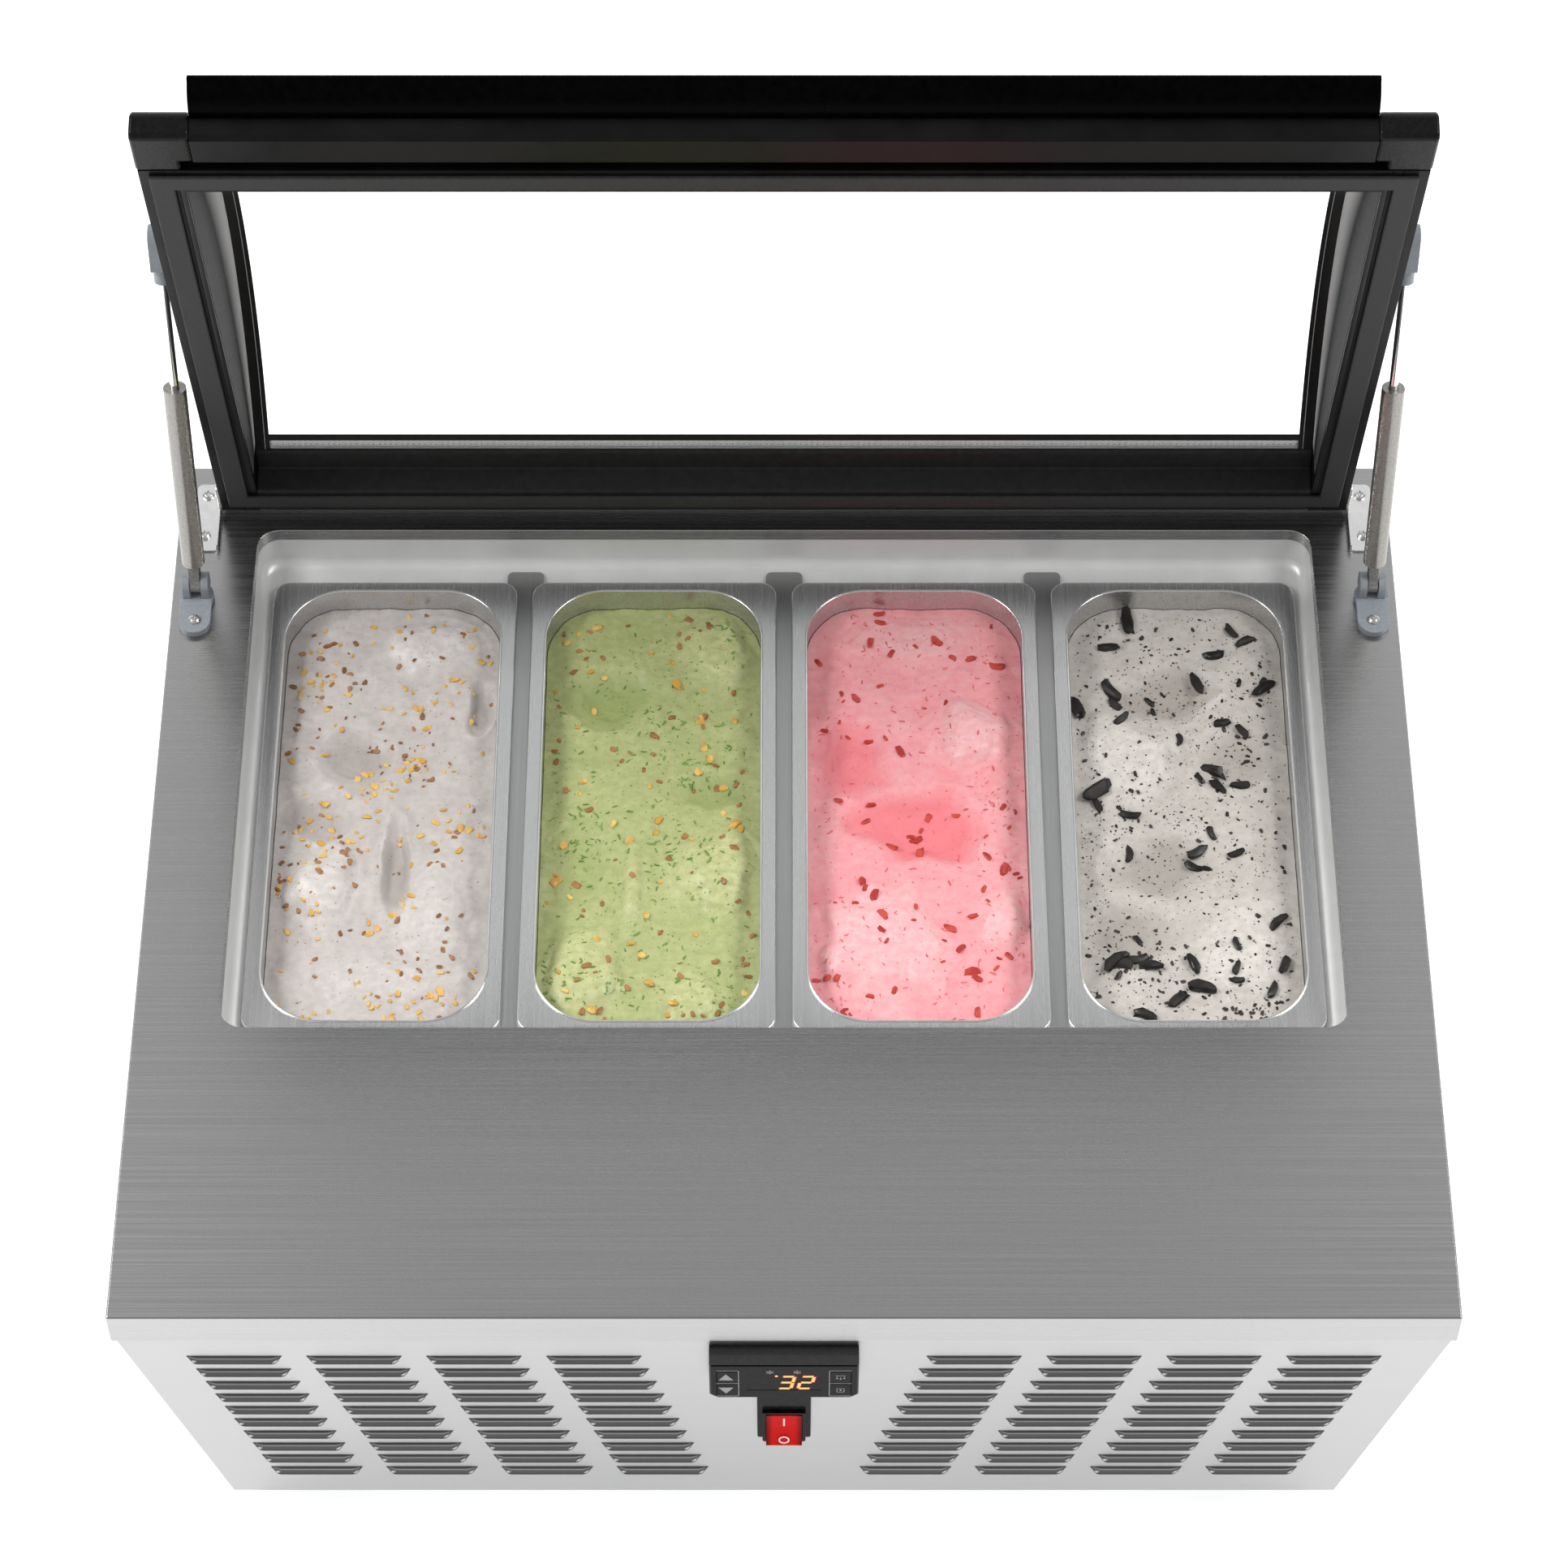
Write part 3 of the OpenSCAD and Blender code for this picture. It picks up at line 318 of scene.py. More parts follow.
# The hoods' steel is painted with light and shade by how far down the hood a point lies: a painted highlight
# line a third of the way down, painted shade growing dark towards the lower edge, and a small painted
# highlight on each end.
louvre_steel_painted_light = finish("pressed louvre steel with painted light and shade", (0.42, 0.42, 0.42), (0.44, 0.44, 0.44), (0.30, 0.36),
                      (4, 1600, 1600), metal=1.0, relief=0.01, depth=0.0001)
tree = louvre_steel_painted_light.node_tree
along_hood = tree.nodes.new("ShaderNodeAttribute")
along_hood.attribute_name = "down_hood"
shade = grey_ramp(tree.nodes, [(0.0, 0.12), (0.2, 0.13), (0.3, 0.40), (0.38, 0.12), (0.65, 0.07),
                               (0.95, 0.015)])
tree.links.new(along_hood.outputs["Fac"], shade.inputs[0])
at_end = tree.nodes.new("ShaderNodeAttribute")
at_end.attribute_name = "painted_end_glint"
with_glint = tree.nodes.new("ShaderNodeMix")
with_glint.data_type = "RGBA"
with_glint.inputs["B"].default_value = (0.95, 0.95, 0.95, 1)
tree.links.new(at_end.outputs["Fac"], with_glint.inputs["Factor"])
tree.links.new(shade.outputs[0], with_glint.inputs["A"])
tree.links.new(with_glint.outputs["Result"], tree.nodes["Principled BSDF"].inputs["Base Color"])
piece("louvre_hoods", form, "cabinet", louvre_steel_painted_light, smooth=1.2, wall=hood_wall)

# The sides, the back and the base tray: folded sheet that hooks under the lip. The feet are moulded
# rubber, and a stud holds each of them in the tray.
side_steel = finish("brushed side steel", (0.37, 0.37, 0.368), (0.40, 0.40, 0.398), (0.25, 0.31),
                    (1600, 4, 1600), metal=1.0, relief=0.012, depth=0.0001, fine=3.0)
galvanised = finish("galvanised steel", (0.42, 0.44, 0.45), (0.62, 0.64, 0.65), (0.35, 0.55),
                    (90, 90, 90), metal=1.0, relief=0.08, fine=2.0)
rubber = finish("black rubber", (0.012, 0.012, 0.012), (0.03, 0.03, 0.03), (0.6, 0.8), (400, 400, 400),
                relief=0.2)
for side in ("left", "right"):
    rounded(f"side_panel_{side}", f"{side}_side_sheet", 0.0004, side_steel)
rounded("back_panel", "back_sheet_with_vents", 0.0004, brushed_steel, 1)
rounded("base_tray", "folded_base_tray", 0.0005, galvanised)
rounded("rubber_feet", "moulded_rubber_feet", 0.0009, rubber, 3, 0.35)

# The cold well: one deep-drawn liner of satin steel. It has a wide round where its wall turns into the
# ledge that carries the pans, and another where the tank's wall turns into its floor.
well_y = front_y + 0.4055
pan_y = front_y + 0.403
opening_w, opening_d, opening_r = 0.709, 0.396, 0.015
ledge_z = body_h - 0.035
tank_w, tank_d = 0.674, 0.348
tank_z = body_h - 0.168


def ring(form, width, depth, radius, x, y, z, steps=64):
    """A loop in the shape of a rectangle with round corners, from a circle whose quarters move apart."""
    made = bmesh.ops.create_circle(form, cap_ends=False, segments=steps, radius=radius,
                                   matrix=Matrix.Rotation(math.pi / steps, 4, "Z"))["verts"]
    for v in made:
        v.co += Vector((x + math.copysign(width / 2 - radius, v.co.x),
                        y + math.copysign(depth / 2 - radius, v.co.y), z))
    return list({edge for v in made for edge in v.link_edges})


def lofted(form, rings, closed=True):
    """Joins loops, each given as width, depth, radius, x, y, z, and closes the last with a face."""
    last = None
    for values in rings:
        loop = ring(form, *values)
        if last:
            bmesh.ops.bridge_loops(form, edges=last + loop)
        last = loop
    if closed:
        bmesh.ops.contextual_create(form, geom=last)


def quarter(radius, steps):
    """How far in and how far down each step of a quarter round lies."""
    turns = [math.pi / 2 * i / steps for i in range(steps + 1)]
    return [(radius * (1 - math.cos(turn)), radius * math.sin(turn)) for turn in turns]


liner_steel = finish("satin liner steel", (0.80, 0.80, 0.79), (0.84, 0.84, 0.83), (0.34, 0.40),
                     (40, 40, 40), metal=0.3, relief=0.0)
form = bmesh.new()
round_out, round_in, tank_round = 0.009, 0.0025, 0.014
rings = [(opening_w, opening_d, opening_r, 0, well_y, body_h - 0.0102)]
for inset, down in quarter(round_out, 6):
    rings.append((opening_w - 2 * inset, opening_d - 2 * inset, opening_r - inset * 0.4, 0, well_y,
                  ledge_z + round_out - down))
for inset, down in reversed(quarter(round_in, 4)):
    rings.append((tank_w + 2 * (round_in - down), tank_d + 2 * (round_in - down),
                  opening_r + round_in - down, 0, pan_y, ledge_z - inset))
for inset, down in quarter(tank_round, 6):
    rings.append((tank_w - 2 * inset, tank_d - 2 * inset, opening_r - 0.6 * inset, 0, pan_y,
                  tank_z + tank_round - down))
lofted(form, rings)
bmesh.ops.remove_doubles(form, verts=form.verts, dist=0.00001)
bmesh.ops.recalc_face_normals(form, faces=form.faces)
bmesh.ops.reverse_faces(form, faces=form.faces)
piece("drawn_well_liner", form, "cabinet", liner_steel, ["well_liner"], wall=0.001)

# The divider bars: three flat bars with a web beneath, that lie across the ledge between the pans.
bar_steel = finish("bar steel", (0.42, 0.42, 0.42), (0.46, 0.46, 0.46), (0.30, 0.38), (1500, 5, 1500),
                   metal=1.0, relief=0.012, depth=0.0001)
rounded("divider_bars", "pan_divider_bars", 0.0005, bar_steel)

# The four pans: each is pressed from one sheet, with a flat rim turned down at its edge, a bright bead
# round its mouth, straight walls and a round-edged floor. It hangs by its rim and lifts straight out.
pan_w, pan_l, pan_pitch = 0.165, 0.360, 0.175
mouth_w, mouth_l, mouth_r = 0.1446, 0.344, 0.040
rim_z = body_h - 0.030
pan_floor = rim_z - 0.119
pan_steel = finish("brushed pan steel", (0.56, 0.56, 0.56), (0.60, 0.60, 0.60), (0.22, 0.28),
                   (1500, 6, 1500), metal=0.8, relief=0.005, depth=0.0001, fine=3.0)
bead_steel = finish("polished bead steel", (0.80, 0.80, 0.80), (0.86, 0.86, 0.86), (0.16, 0.22),
                    (60, 60, 60), metal=1.0, relief=0.02)
for number in (1, 2, 3, 4):
    x = (number - 2.5) * pan_pitch
    body = f"pan_{number}_lift"
    form = bmesh.new()
    rings = [(pan_w, pan_l, 0.0115, x, pan_y, rim_z - 0.003)]
    rings += [(pan_w - 2 * inset, pan_l - 2 * inset, 0.0115 - inset, x, pan_y, rim_z - 0.0013 + down)
              for inset, down in quarter(0.0013, 3)]
    rings += [(mouth_w + 2 * inset, mouth_l + 2 * inset, mouth_r + inset, x, pan_y, rim_z - down)
              for inset, down in [(0.0017, 0), (0.0006, 0.0002), (0.0, 0.0009)]]
    rings += [(mouth_w - 2 * inset, mouth_l - 2 * inset, mouth_r - inset, x, pan_y,
               pan_floor + 0.012 - down) for inset, down in quarter(0.012, 5)]
    lofted(form, rings)
    bmesh.ops.recalc_face_normals(form, faces=form.faces)
    piece(f"pressed_pan_{number}", form, body, pan_steel, [f"pan_{number}"], wall=0.0008)
    form = bmesh.new()
    bead = [(mouth_w + 0.0006 + 0.0016 * math.cos(turn), mouth_l + 0.0006 + 0.0016 * math.cos(turn),
             mouth_r + 0.0003 + 0.0008 * math.cos(turn), x, pan_y, rim_z + 0.0001 + 0.0007 * math.sin(turn))
            for turn in [math.pi * (i / 6 - 0.15) for i in range(9)]]
    lofted(form, bead, closed=False)
    bmesh.ops.recalc_face_normals(form, faces=form.faces)
    piece(f"mouth_bead_{number}", form, body, bead_steel)

# The ice creams: four frozen mixes, spread into the pans with a spatula that has left mounds, hollows
# and streaks. Nuts, fruit and biscuit are stirred through them and lie half sunk in the surface.
fill_z = rim_z - 0.020
fill_w, fill_l, fill_r = mouth_w - 0.0008, mouth_l - 0.0008, 0.0396
flavours = {
    1: [(0.67, 0.10, 38, 26, 6), (0.36, 0.36, 27, 27, -5), (0.23, 0.66, 27, 30, 8),
        (0.56, 0.62, 10, 42, -6), (0.20, 0.50, 26, 20, -4), (0.74, 0.72, 22, 50, 3),
        (0.50, 0.88, 46, 24, 3), (0.92, 0.24, 10, 26, -5)],
    2: [(0.79, 0.10, 26, 34, 6), (0.30, 0.22, 31, 28, -6), (0.80, 0.63, 32, 40, 7),
        (0.21, 0.87, 28, 38, 8), (0.68, 0.92, 24, 30, 5), (0.78, 0.44, 30, 16, -4),
        (0.18, 0.60, 24, 44, -3), (0.42, 0.66, 8, 40, 3)],
    3: [(0.76, 0.31, 26, 30, 8), (0.34, 0.79, 40, 48, 9), (0.86, 0.75, 18, 24, 5),
        (0.20, 0.36, 32, 34, -5), (0.52, 0.52, 50, 30, -8), (0.50, 0.08, 60, 26, 3)],
    4: [(0.26, 0.36, 36, 36, 7), (0.44, 0.20, 36, 26, -6), (0.38, 0.61, 36, 28, -6),
        (0.23, 0.77, 28, 28, -5), (0.72, 0.80, 34, 46, 4), (0.74, 0.36, 28, 30, -4)],
}


def surface_height(number, x, y):
    """How far the ice cream stands above its level at a place measured from the pan's middle."""
    height = 1.6 * noise.fractal(Vector((x * 26, y * 26, number * 7.0)), 0.9, 2.1, 3)
    calm = 1.0
    for index, (across, along, reach_x, reach_y, rise) in enumerate(flavours[number]):
        dx = (x - (across - 0.5) * fill_w) * 1000
        dy = (y - (0.5 - along) * fill_l) * 1000
        wobble = 1 + 0.34 * noise.noise(Vector((dx * 0.045, dy * 0.045, number + index * 3.1)))
        far = math.hypot(dx / reach_x, dy / reach_y) * wobble
        if far < 1.35:
            step = min(1, max(0, (1.1 - far) / 0.8))
            height += 1.15 * rise * (step * step * (3 - 2 * step))
            weight = min(1, max(0, (1.3 - far) / 0.5))
            turn = math.atan2(dy, dx)
            lip = max(0, math.cos(turn - index * 2.4 - number))
            height += 0.20 * abs(rise) * lip * math.exp(-((far - 1.04) / 0.11) ** 2)
            swirl = Vector((far * max(reach_x, reach_y) * 0.42, math.cos(turn) * 1.6 + index,
                            math.sin(turn) * 1.6))
            height += 0.62 * weight * calm * noise.noise(swirl)
            calm *= 1 - weight
    warp = noise.noise(Vector((x * 30, y * 30, number))) * 1.2
    patch = 0.3 + 0.7 * max(0, noise.noise(Vector((x * 22, y * 22, number + 9.0))) + 0.4)
    height += 0.30 * patch * (0.25 + 0.75 * calm) * noise.noise(
        Vector((x * 160 + warp * 9, y * 420 + warp * 16, number)))
    height += 1.3 * noise.fractal(Vector((x * 75, y * 75, number + 2.0)), 1.0, 2.2, 2) * (0.4 + 0.6 * calm)
    height += 0.34 * noise.noise(Vector((x * 600, y * 600, number + 4.0)))
    return max(-0.012, min(0.0135, height * 0.001))


def ice_cream(name, light, middle, deep, fleck, fleck_at, soft):
    """A frozen mix with fine streaks and flecks, in painted light and shade: paler on its mounds and darker,
    deeper in colour, in its hollows.
    """
    made = finish(name, light, middle, (0.42, 0.58), (170, 210, 210), relief=0.3, depth=0.0006, fine=6.0,
                  Subsurface_Weight=0.25, Subsurface_Scale=0.004, Subsurface_Radius=soft)
    nodes, links = made.node_tree.nodes, made.node_tree.links
    shader = nodes["Principled BSDF"]
    tones = nodes["Color Ramp"]
    level = nodes.new("ShaderNodeAttribute")
    level.attribute_name = "painted_hollow_shade"
    painted_shade_by_height = nodes.new("ShaderNodeMix")
    painted_shade_by_height.data_type = "RGBA"
    painted_shade_by_height.inputs["B"].default_value = (*deep, 1)
    where = nodes["Texture Coordinate"]
    fine_grain = nodes.new("ShaderNodeTexNoise")
    fine_grain.inputs["Scale"].default_value = 420
    fine_grain.inputs["Detail"].default_value = 2
    limit = nodes.new("ShaderNodeMapRange")
    limit.inputs["From Min"].default_value = fleck_at
    limit.inputs["From Max"].default_value = fleck_at + 0.05
    flecked = nodes.new("ShaderNodeMix")
    flecked.data_type = "RGBA"
    flecked.inputs["B"].default_value = (*fleck, 1)
    links.new(level.outputs["Fac"], painted_shade_by_height.inputs["Factor"])
    links.new(tones.outputs[0], painted_shade_by_height.inputs["A"])
    links.new(where.outputs["Object"], fine_grain.inputs["Vector"])
    links.new(fine_grain.outputs["Fac"], limit.inputs["Value"])
    links.new(limit.outputs[0], flecked.inputs["Factor"])
    links.new(painted_shade_by_height.outputs["Result"], flecked.inputs["A"])
    links.new(flecked.outputs["Result"], shader.inputs["Base Color"])
    return made


# The third colour of each mix is the painted shade in its hollows.
mixes = {
    1: ice_cream("vanilla and nut ice cream", (0.72, 0.675, 0.645), (0.61, 0.565, 0.535), (0.43, 0.39, 0.365),
                 (0.40, 0.36, 0.34), 0.68, (1, 0.9, 0.8)),
    2: ice_cream("pistachio ice cream", (0.60, 0.62, 0.31), (0.47, 0.50, 0.225), (0.33, 0.39, 0.14),
                 (0.17, 0.28, 0.06), 0.655, (0.8, 1, 0.4)),
    3: ice_cream("strawberry ice cream", (0.96, 0.56, 0.57), (0.93, 0.44, 0.46), (0.90, 0.24, 0.27),
                 (0.72, 0.14, 0.15), 0.68, (1, 0.5, 0.5)),
    4: ice_cream("cookie ice cream", (0.76, 0.72, 0.67), (0.63, 0.59, 0.54), (0.42, 0.385, 0.345),
                 (0.05, 0.04, 0.035), 0.675, (1, 0.95, 0.85)),
}
slots = {1: "vanilla", 2: "pistachio", 3: "strawberry", 4: "cookie"}
for number in (1, 2, 3, 4):
    middle_x = (number - 2.5) * pan_pitch
    form = bmesh.new()
    bmesh.ops.create_grid(form, x_segments=112, y_segments=264, size=0.5)
    painted_hollow_shade = form.verts.layers.float.new("painted_hollow_shade")
    for v in form.verts:
        x, y = v.co.x * fill_w, v.co.y * fill_l
        past_x, past_y = abs(x) - (fill_w / 2 - fill_r), abs(y) - (fill_l / 2 - fill_r)
        if past_x > 0 and past_y > 0:
            shrink = max(past_x, past_y) / math.hypot(past_x, past_y)
            x -= math.copysign(past_x * (1 - shrink), x)
            y -= math.copysign(past_y * (1 - shrink), y)
        height = surface_height(number, x, y)
        # Painted shade: the lower the surface lies, the more of the darker hollow colour it takes.
        v[painted_hollow_shade] = min(1, max(0, 0.45 - height / 0.011))
        v.co = Vector((middle_x + x, pan_y + y, fill_z + height))
    rim = [edge for edge in form.edges if edge.is_boundary]
    skirt = bmesh.ops.extrude_edge_only(form, edges=rim)["geom"]
    foot = [item for item in skirt if isinstance(item, bmesh.types.BMVert)]
    for v in foot:
        v.co.z = pan_floor + 0.014
    bmesh.ops.contextual_create(form, geom=[e for e in skirt if isinstance(e, bmesh.types.BMEdge)
                                            and all(v in foot for v in e.verts)])
    bmesh.ops.recalc_face_normals(form, faces=form.faces)
    piece(f"{slots[number]}_ice_cream", form, f"pan_{number}_lift", mixes[number],
          [f"ice_cream_{number}"], smooth=1.0)


def crumbs(name, number, seed, count, small, large, tone, other, clusters=0.5, slim=0.6, faces=1,
           flat=0.5):
    """Broken bits stirred into a mix: each is a little rough lump, half sunk where it lies."""
    rng = random.Random(seed)
    form = bmesh.new()
    centres = [(rng.uniform(-1, 1), rng.uniform(-1, 1)) for _ in range(12)]
    for _ in range(count):
        if rng.random() < clusters:
            cx, cy = rng.choice(centres)
            across = max(-1, min(1, cx + rng.gauss(0, 0.14)))
            along = max(-1, min(1, cy + rng.gauss(0, 0.07)))
        else:
            across, along = rng.uniform(-1, 1), rng.uniform(-1, 1)
        x, y = across * (fill_w / 2 - 0.005), along * (fill_l / 2 - 0.005)
        past_x, past_y = abs(x) - (fill_w / 2 - fill_r), abs(y) - (fill_l / 2 - fill_r)
        if past_x > 0 and past_y > 0 and math.hypot(past_x, past_y) > fill_r - 0.005:
            x, y = x * 0.8, y * 0.92
        size = rng.uniform(small, large) * (0.6 + 0.4 * rng.random())
        lump = bmesh.ops.create_icosphere(form, subdivisions=faces, radius=0.5)["verts"]
        bend = rng.uniform(-0.5, 0.5)
        for v in lump:
            v.co = Vector([math.copysign(abs(2 * way) ** 0.7 / 2, way) for way in v.co])
            v.co *= 1 + 0.45 * noise.noise(v.co * 2.6 + Vector((x, y, size)) * 900)
            v.co = Vector((v.co.x, v.co.y * slim + bend * v.co.x * v.co.x, v.co.z * flat * slim))
        height = surface_height(number, x, y)
        place = (Matrix.Translation(((number - 2.5) * pan_pitch + x, pan_y + y,
                                     fill_z + height + size * 0.10 * flat))
                 @ Matrix.Rotation(rng.uniform(0, math.tau), 4, "Z")
                 @ Matrix.Rotation(rng.uniform(-0.35, 0.35), 4, "X") @ Matrix.Scale(size, 4))
        bmesh.ops.transform(form, matrix=place, verts=lump)
    surface = finish(name.replace("_", " "), tone, other, (0.35, 0.6), (90, 90, 90), relief=0.3,
                     depth=0.0004, span=(0.42, 0.58))
    piece(name, form, f"pan_{number}_lift", surface, smooth=0.5)


crumbs("golden_nuts_1", 1, 11, 210, 0.0032, 0.0078, (0.66, 0.36, 0.06), (0.80, 0.50, 0.14), 0.55)
crumbs("brown_nuts_1", 1, 12, 170, 0.0026, 0.0068, (0.24, 0.10, 0.035), (0.40, 0.19, 0.07), 0.5)
crumbs("nut_dust_1", 1, 13, 260, 0.0006, 0.0018, (0.38, 0.18, 0.06), (0.62, 0.34, 0.08), 0.5)
crumbs("golden_nuts_2", 2, 21, 52, 0.0050, 0.0082, (0.62, 0.34, 0.05), (0.84, 0.56, 0.16), 0.3,
       0.7, 2)
crumbs("brown_nuts_2", 2, 22, 74, 0.0042, 0.0080, (0.30, 0.13, 0.04), (0.44, 0.20, 0.06), 0.3,
       0.62, 2)
crumbs("green_flecks_2", 2, 23, 460, 0.0018, 0.0062, (0.13, 0.26, 0.03), (0.22, 0.37, 0.06),
       0.5, 0.3, 1, 0.6)
crumbs("berry_pieces_3", 3, 31, 74, 0.0045, 0.0115, (0.44, 0.03, 0.02), (0.62, 0.07, 0.045),
       0.3, 0.5, 2)
crumbs("berry_flecks_3", 3, 32, 420, 0.0016, 0.0060, (0.70, 0.12, 0.12), (0.80, 0.20, 0.20),
       0.4, 0.3, 1, 0.25)
crumbs("biscuit_chunks_4", 4, 41, 48, 0.010, 0.026, (0.006, 0.004, 0.003), (0.014, 0.009, 0.007),
       0.3, 0.40, 2, 0.8)
crumbs("biscuit_bits_4", 4, 42, 380, 0.0018, 0.0054, (0.018, 0.012, 0.010), (0.05, 0.035, 0.03),
       0.35, 0.6)
crumbs("biscuit_specks_4", 4, 43, 1200, 0.0007, 0.0019, (0.02, 0.014, 0.011), (0.06, 0.045, 0.04),
       0.2, 0.7)

# The cooling unit behind the front panel and the foam round the tank: these stay as they are made in
# CAD, and each takes the finish of its own real material.
foam_skin = finish("poured foam", (0.75, 0.66, 0.42), (0.86, 0.78, 0.55), (0.8, 0.95), (300, 300, 300),
                   relief=0.4, depth=0.0008)
copper = finish("drawn copper", (0.80, 0.38, 0.20), (0.90, 0.48, 0.28), (0.22, 0.4), (120, 120, 120),
                metal=1.0, relief=0.05)
black_enamel = finish("black enamel", (0.012, 0.012, 0.013), (0.025, 0.025, 0.027), (0.22, 0.4),
                      (70, 70, 70), relief=0.08, Coat_Weight=0.3)
fin_aluminium = finish("fin aluminium", (0.72, 0.73, 0.74), (0.82, 0.83, 0.84), (0.3, 0.45), (90, 900, 90),
                       metal=1.0, relief=0.05)
black_plastic = finish("moulded black plastic", (0.010, 0.010, 0.010), (0.020, 0.020, 0.020), (0.38, 0.55),
                       (500, 500, 500), relief=0.12, depth=0.0001)
white_plastic = finish("white fan plastic", (0.66, 0.66, 0.63), (0.74, 0.74, 0.71), (0.35, 0.5),
                       (300, 300, 300), relief=0.08)
board_green = finish("circuit board lacquer", (0.01, 0.11, 0.035), (0.02, 0.20, 0.06), (0.25, 0.4),
                     (700, 40, 500), relief=0.2)
for node, surface in [
    ("foam_insulation", foam_skin), ("evaporator_coil", copper), ("compressor", black_enamel),
    ("compressor_mounts", galvanised), ("condenser_coil", fin_aluminium), ("fan_shroud", black_plastic),
    ("fan_motor", black_enamel), ("fan_blade", white_plastic), ("filter_drier", copper),
    ("refrigerant_lines", copper), ("electrical_box", black_plastic), ("cord_gland", black_plastic),
    ("controller_board", board_green),
]:
    frame["nodes"][node].material_slots[0].material = surface

# The temperature controller: a moulded housing in the front panel with a smoked fascia, a glowing
# two-digit display and four keys. The signs are printed on it in grey.
fascia_y = front_y - 0.009
key_face = front_y - 0.0094
housing_grey = finish("controller housing plastic", (0.050, 0.050, 0.050), (0.058, 0.058, 0.058),
                      (0.38, 0.48), (500, 500, 500), relief=0.03, depth=0.0001, Specular_IOR_Level=0.15)
fascia_gloss = finish("smoked fascia", (0.008, 0.008, 0.008), (0.012, 0.011, 0.011), (0.14, 0.20),
                      (200, 200, 200), relief=0.0, Specular_IOR_Level=0.05)
rounded("controller_housing", "moulded_controller_housing", 0.0007, housing_grey, 3)
rounded("controller_fascia", "smoked_controller_fascia", 0.0003, fascia_gloss)
for node in ("key_up", "key_down", "key_defrost", "key_set"):
    rounded(node, node.replace("key_", "") + "_key_cap", 0.0006, fascia_gloss, 3)
print_grey = finish("printed grey", (0.26, 0.26, 0.26), (0.34, 0.34, 0.34), (0.5, 0.6), (900, 900, 900),
                    relief=0.05)


def strip(form, x, drop, width, height, out, turn=0.0, lean=0.0, thick=0.0003):
    """A thin printed bar on the front, turned or leaned over about its middle."""
    shear = Matrix.Identity(4)
    shear[0][2] = lean
    place = (Matrix.Translation((x, out, body_h - drop)) @ shear @ Matrix.Rotation(turn, 4, "Y")
             @ Matrix.Diagonal((width, thick, height, 1)))
    bmesh.ops.create_cube(form, size=1, matrix=place)


def mark(form, sides, x, drop, radius, out, turn=0.0, thick=0.0003, stretch=1.0):
    """A thin printed shape with equal sides, such as a triangle or a dot."""
    place = (Matrix.Translation((x, out, body_h - drop)) @ Matrix.Diagonal((stretch, 1, 1, 1))
             @ Matrix.Rotation(turn, 4, "Y") @ Matrix.Rotation(math.pi / 2, 4, "X"))
    bmesh.ops.create_cone(form, cap_ends=True, segments=sides, radius1=radius, radius2=radius, depth=thick,
                          matrix=place)


form = bmesh.new()
for side in (-1, 1):
    for drop in (0.0491, 0.0652, 0.0811):
        strip(form, side * 0.0347, drop, 0.0132, 0.0005, fascia_y)
    strip(form, side * 0.0278, 0.0651, 0.0005, 0.0318, fascia_y)
for x in (-0.0086, 0.0080):
    for turn in (0, math.pi / 3, -math.pi / 3):
        strip(form, x, 0.0508, 0.0005, 0.0050, fascia_y, turn)
        for tip in (-0.0016, 0.0016):
            for kink in (0.9, -0.9):
                strip(form, x + tip * math.sin(turn), 0.0508 - tip * math.cos(turn), 0.0003, 0.0013,
                      fascia_y, turn + kink)
piece("fascia_print", form, body_of("controller_fascia"), print_grey)
form = bmesh.new()
mark(form, 3, -0.0355, 0.0578, 0.0050, key_face, 0, stretch=1.05)
piece("up_arrow_print", form, "up_key", print_grey)
form = bmesh.new()
mark(form, 3, -0.0355, 0.0722, 0.0050, key_face, math.pi, stretch=1.05)
piece("down_arrow_print", form, "down_key", print_grey)
form = bmesh.new()
for dx in (-0.0022, 0, 0.0022):
    mark(form, 8, 0.0346 + dx, 0.0588 - abs(dx) * 0.4, 0.0007, key_face)
    strip(form, 0.0346 + dx, 0.0572 - abs(dx) * 0.4, 0.0003, 0.0022, key_face)
strip(form, 0.0346, 0.0546, 0.0062, 0.0004, key_face)
piece("defrost_print", form, "defrost_key", print_grey)
form = bmesh.new()
for turn in range(4):
    angle = turn * math.pi / 2
    strip(form, 0.0346 + 0.0022 * math.sin(angle), 0.0732 - 0.0022 * math.cos(angle), 0.0044, 0.0004,
          key_face, angle)
mark(form, 8, 0.0346, 0.0732, 0.0008, key_face)
piece("set_print", form, "set_key", print_grey)

